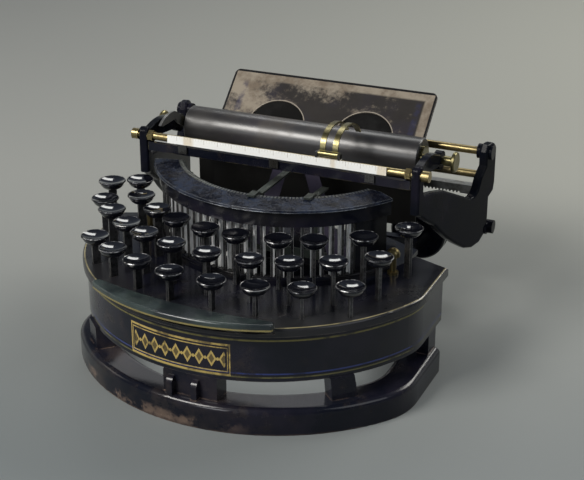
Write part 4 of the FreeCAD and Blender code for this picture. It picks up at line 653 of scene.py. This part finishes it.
def light_scene():
    """Soft lamps under a dim sky that is pale along the horizon behind the machine only."""
    world = bpy.data.worlds.new("studio")
    bpy.context.scene.world = world
    world.use_nodes = True
    sky = Nodes(world.node_tree)
    x, y, z = sky.parts(sky.node("TexCoord", output="Generated"))
    behind = (y * math.cos(CAMERA_AZIMUTH) - x * math.sin(CAMERA_AZIMUTH)).step(-0.1, 0.5)
    pale = z.step(0.45, 0.14) * behind
    colour = sky.mix(pale, (0.085, 0.098, 0.122), (0.50, 0.52, 0.50))
    sky.feed(sky.tree.nodes["Background"].inputs["Color"], colour)
    area_light("key_light", (-0.80, -1.30, 1.40), (0, 0, 0.08), (0.8, 0.6), 34.0, (1.0, 0.97, 0.92))
    area_light("low_light", (-1.60, -0.30, 0.75), (0, 0, 0.06), (0.5, 0.4), 1.2, (1.0, 0.92, 0.82))
    area_light("front_light", (-0.30, -1.90, 0.62), (0, 0, 0.12), (0.6, 0.5), 7.0, (0.97, 0.99, 1.0))
    area_light("side_light", (1.5, -0.5, 1.2), (0, 0, 0.1), (0.9, 0.9), 5.0, (0.94, 0.97, 1.0))
    area_light("back_light", (0.9, 1.5, 1.3), (0.1, 0.1, 0.05), (1.2, 0.6), 20.0, (1.0, 0.98, 0.92))
    area_light("rear_light", (-0.62, 1.42, 1.72), (0, -0.08, 0.10), (0.8, 0.5), 6.0, (1.0, 1.0, 0.97))
    # keeps the floor inside the open base as bright as the floor around it
    area_light("under_light", (0.0, -0.055, 0.037), (0, -0.055, 0), (0.20, 0.13), 0.075)


def make_floor():
    """A pale floor with painted light and shade: warmer and brighter far off on the right, cooler and darker
    near the camera.
    """
    deselect()
    bpy.ops.mesh.primitive_plane_add(size=FLOOR_SIZE, location=(0, 0, -FLOOR_GAP))
    floor = bpy.context.active_object
    floor.name = "floor"
    finish = Finish("floor_paper")
    turned_x, turned_y = math.cos(CAMERA_AZIMUTH), math.sin(CAMERA_AZIMUTH)
    away = finish.y * turned_x - finish.x * turned_y
    right = finish.x * turned_x + finish.y * turned_y
    far_left = finish.mix(finish.noise(3.0, 3.0, 0.5), (0.285, 0.292, 0.280), (0.300, 0.306, 0.290))
    far = finish.mix(right.step(-0.6, 0.9), far_left, (0.372, 0.374, 0.332))
    near = finish.mix(right.step(-0.3, 0.4), (0.148, 0.168, 0.172), (0.206, 0.222, 0.222))
    colour = finish.mix(away.step(0.45, -0.35), far, near)
    floor.data.materials.append(finish.surface(colour, 0.85))


def make_camera():
    turned, raised = CAMERA_AZIMUTH, CAMERA_ELEVATION
    right = Vector((math.cos(turned), math.sin(turned), 0.0))
    level = Vector((math.sin(turned), -math.cos(turned), 0.0)) * math.cos(raised)
    back = level + Vector((0.0, 0.0, math.sin(raised)))
    lens = bpy.data.cameras.new("camera")
    lens.sensor_width = CAMERA_SENSOR
    lens.lens = CAMERA_LENS
    camera = bpy.data.objects.new("camera", lens)
    bpy.context.scene.collection.objects.link(camera)
    axes = Matrix((right, back.cross(right), back)).transposed()
    camera.matrix_world = Matrix.Translation(CAMERA_PLACE) @ axes.to_4x4()
    bpy.context.scene.camera = camera


# ---------------------------------------------------------------- build
make_camera()
bpy.context.scene.view_settings.view_transform = "Standard"
light_scene()
make_floor()
dress_frame()
dress_carriage()
dress_keys()
pan_wing()
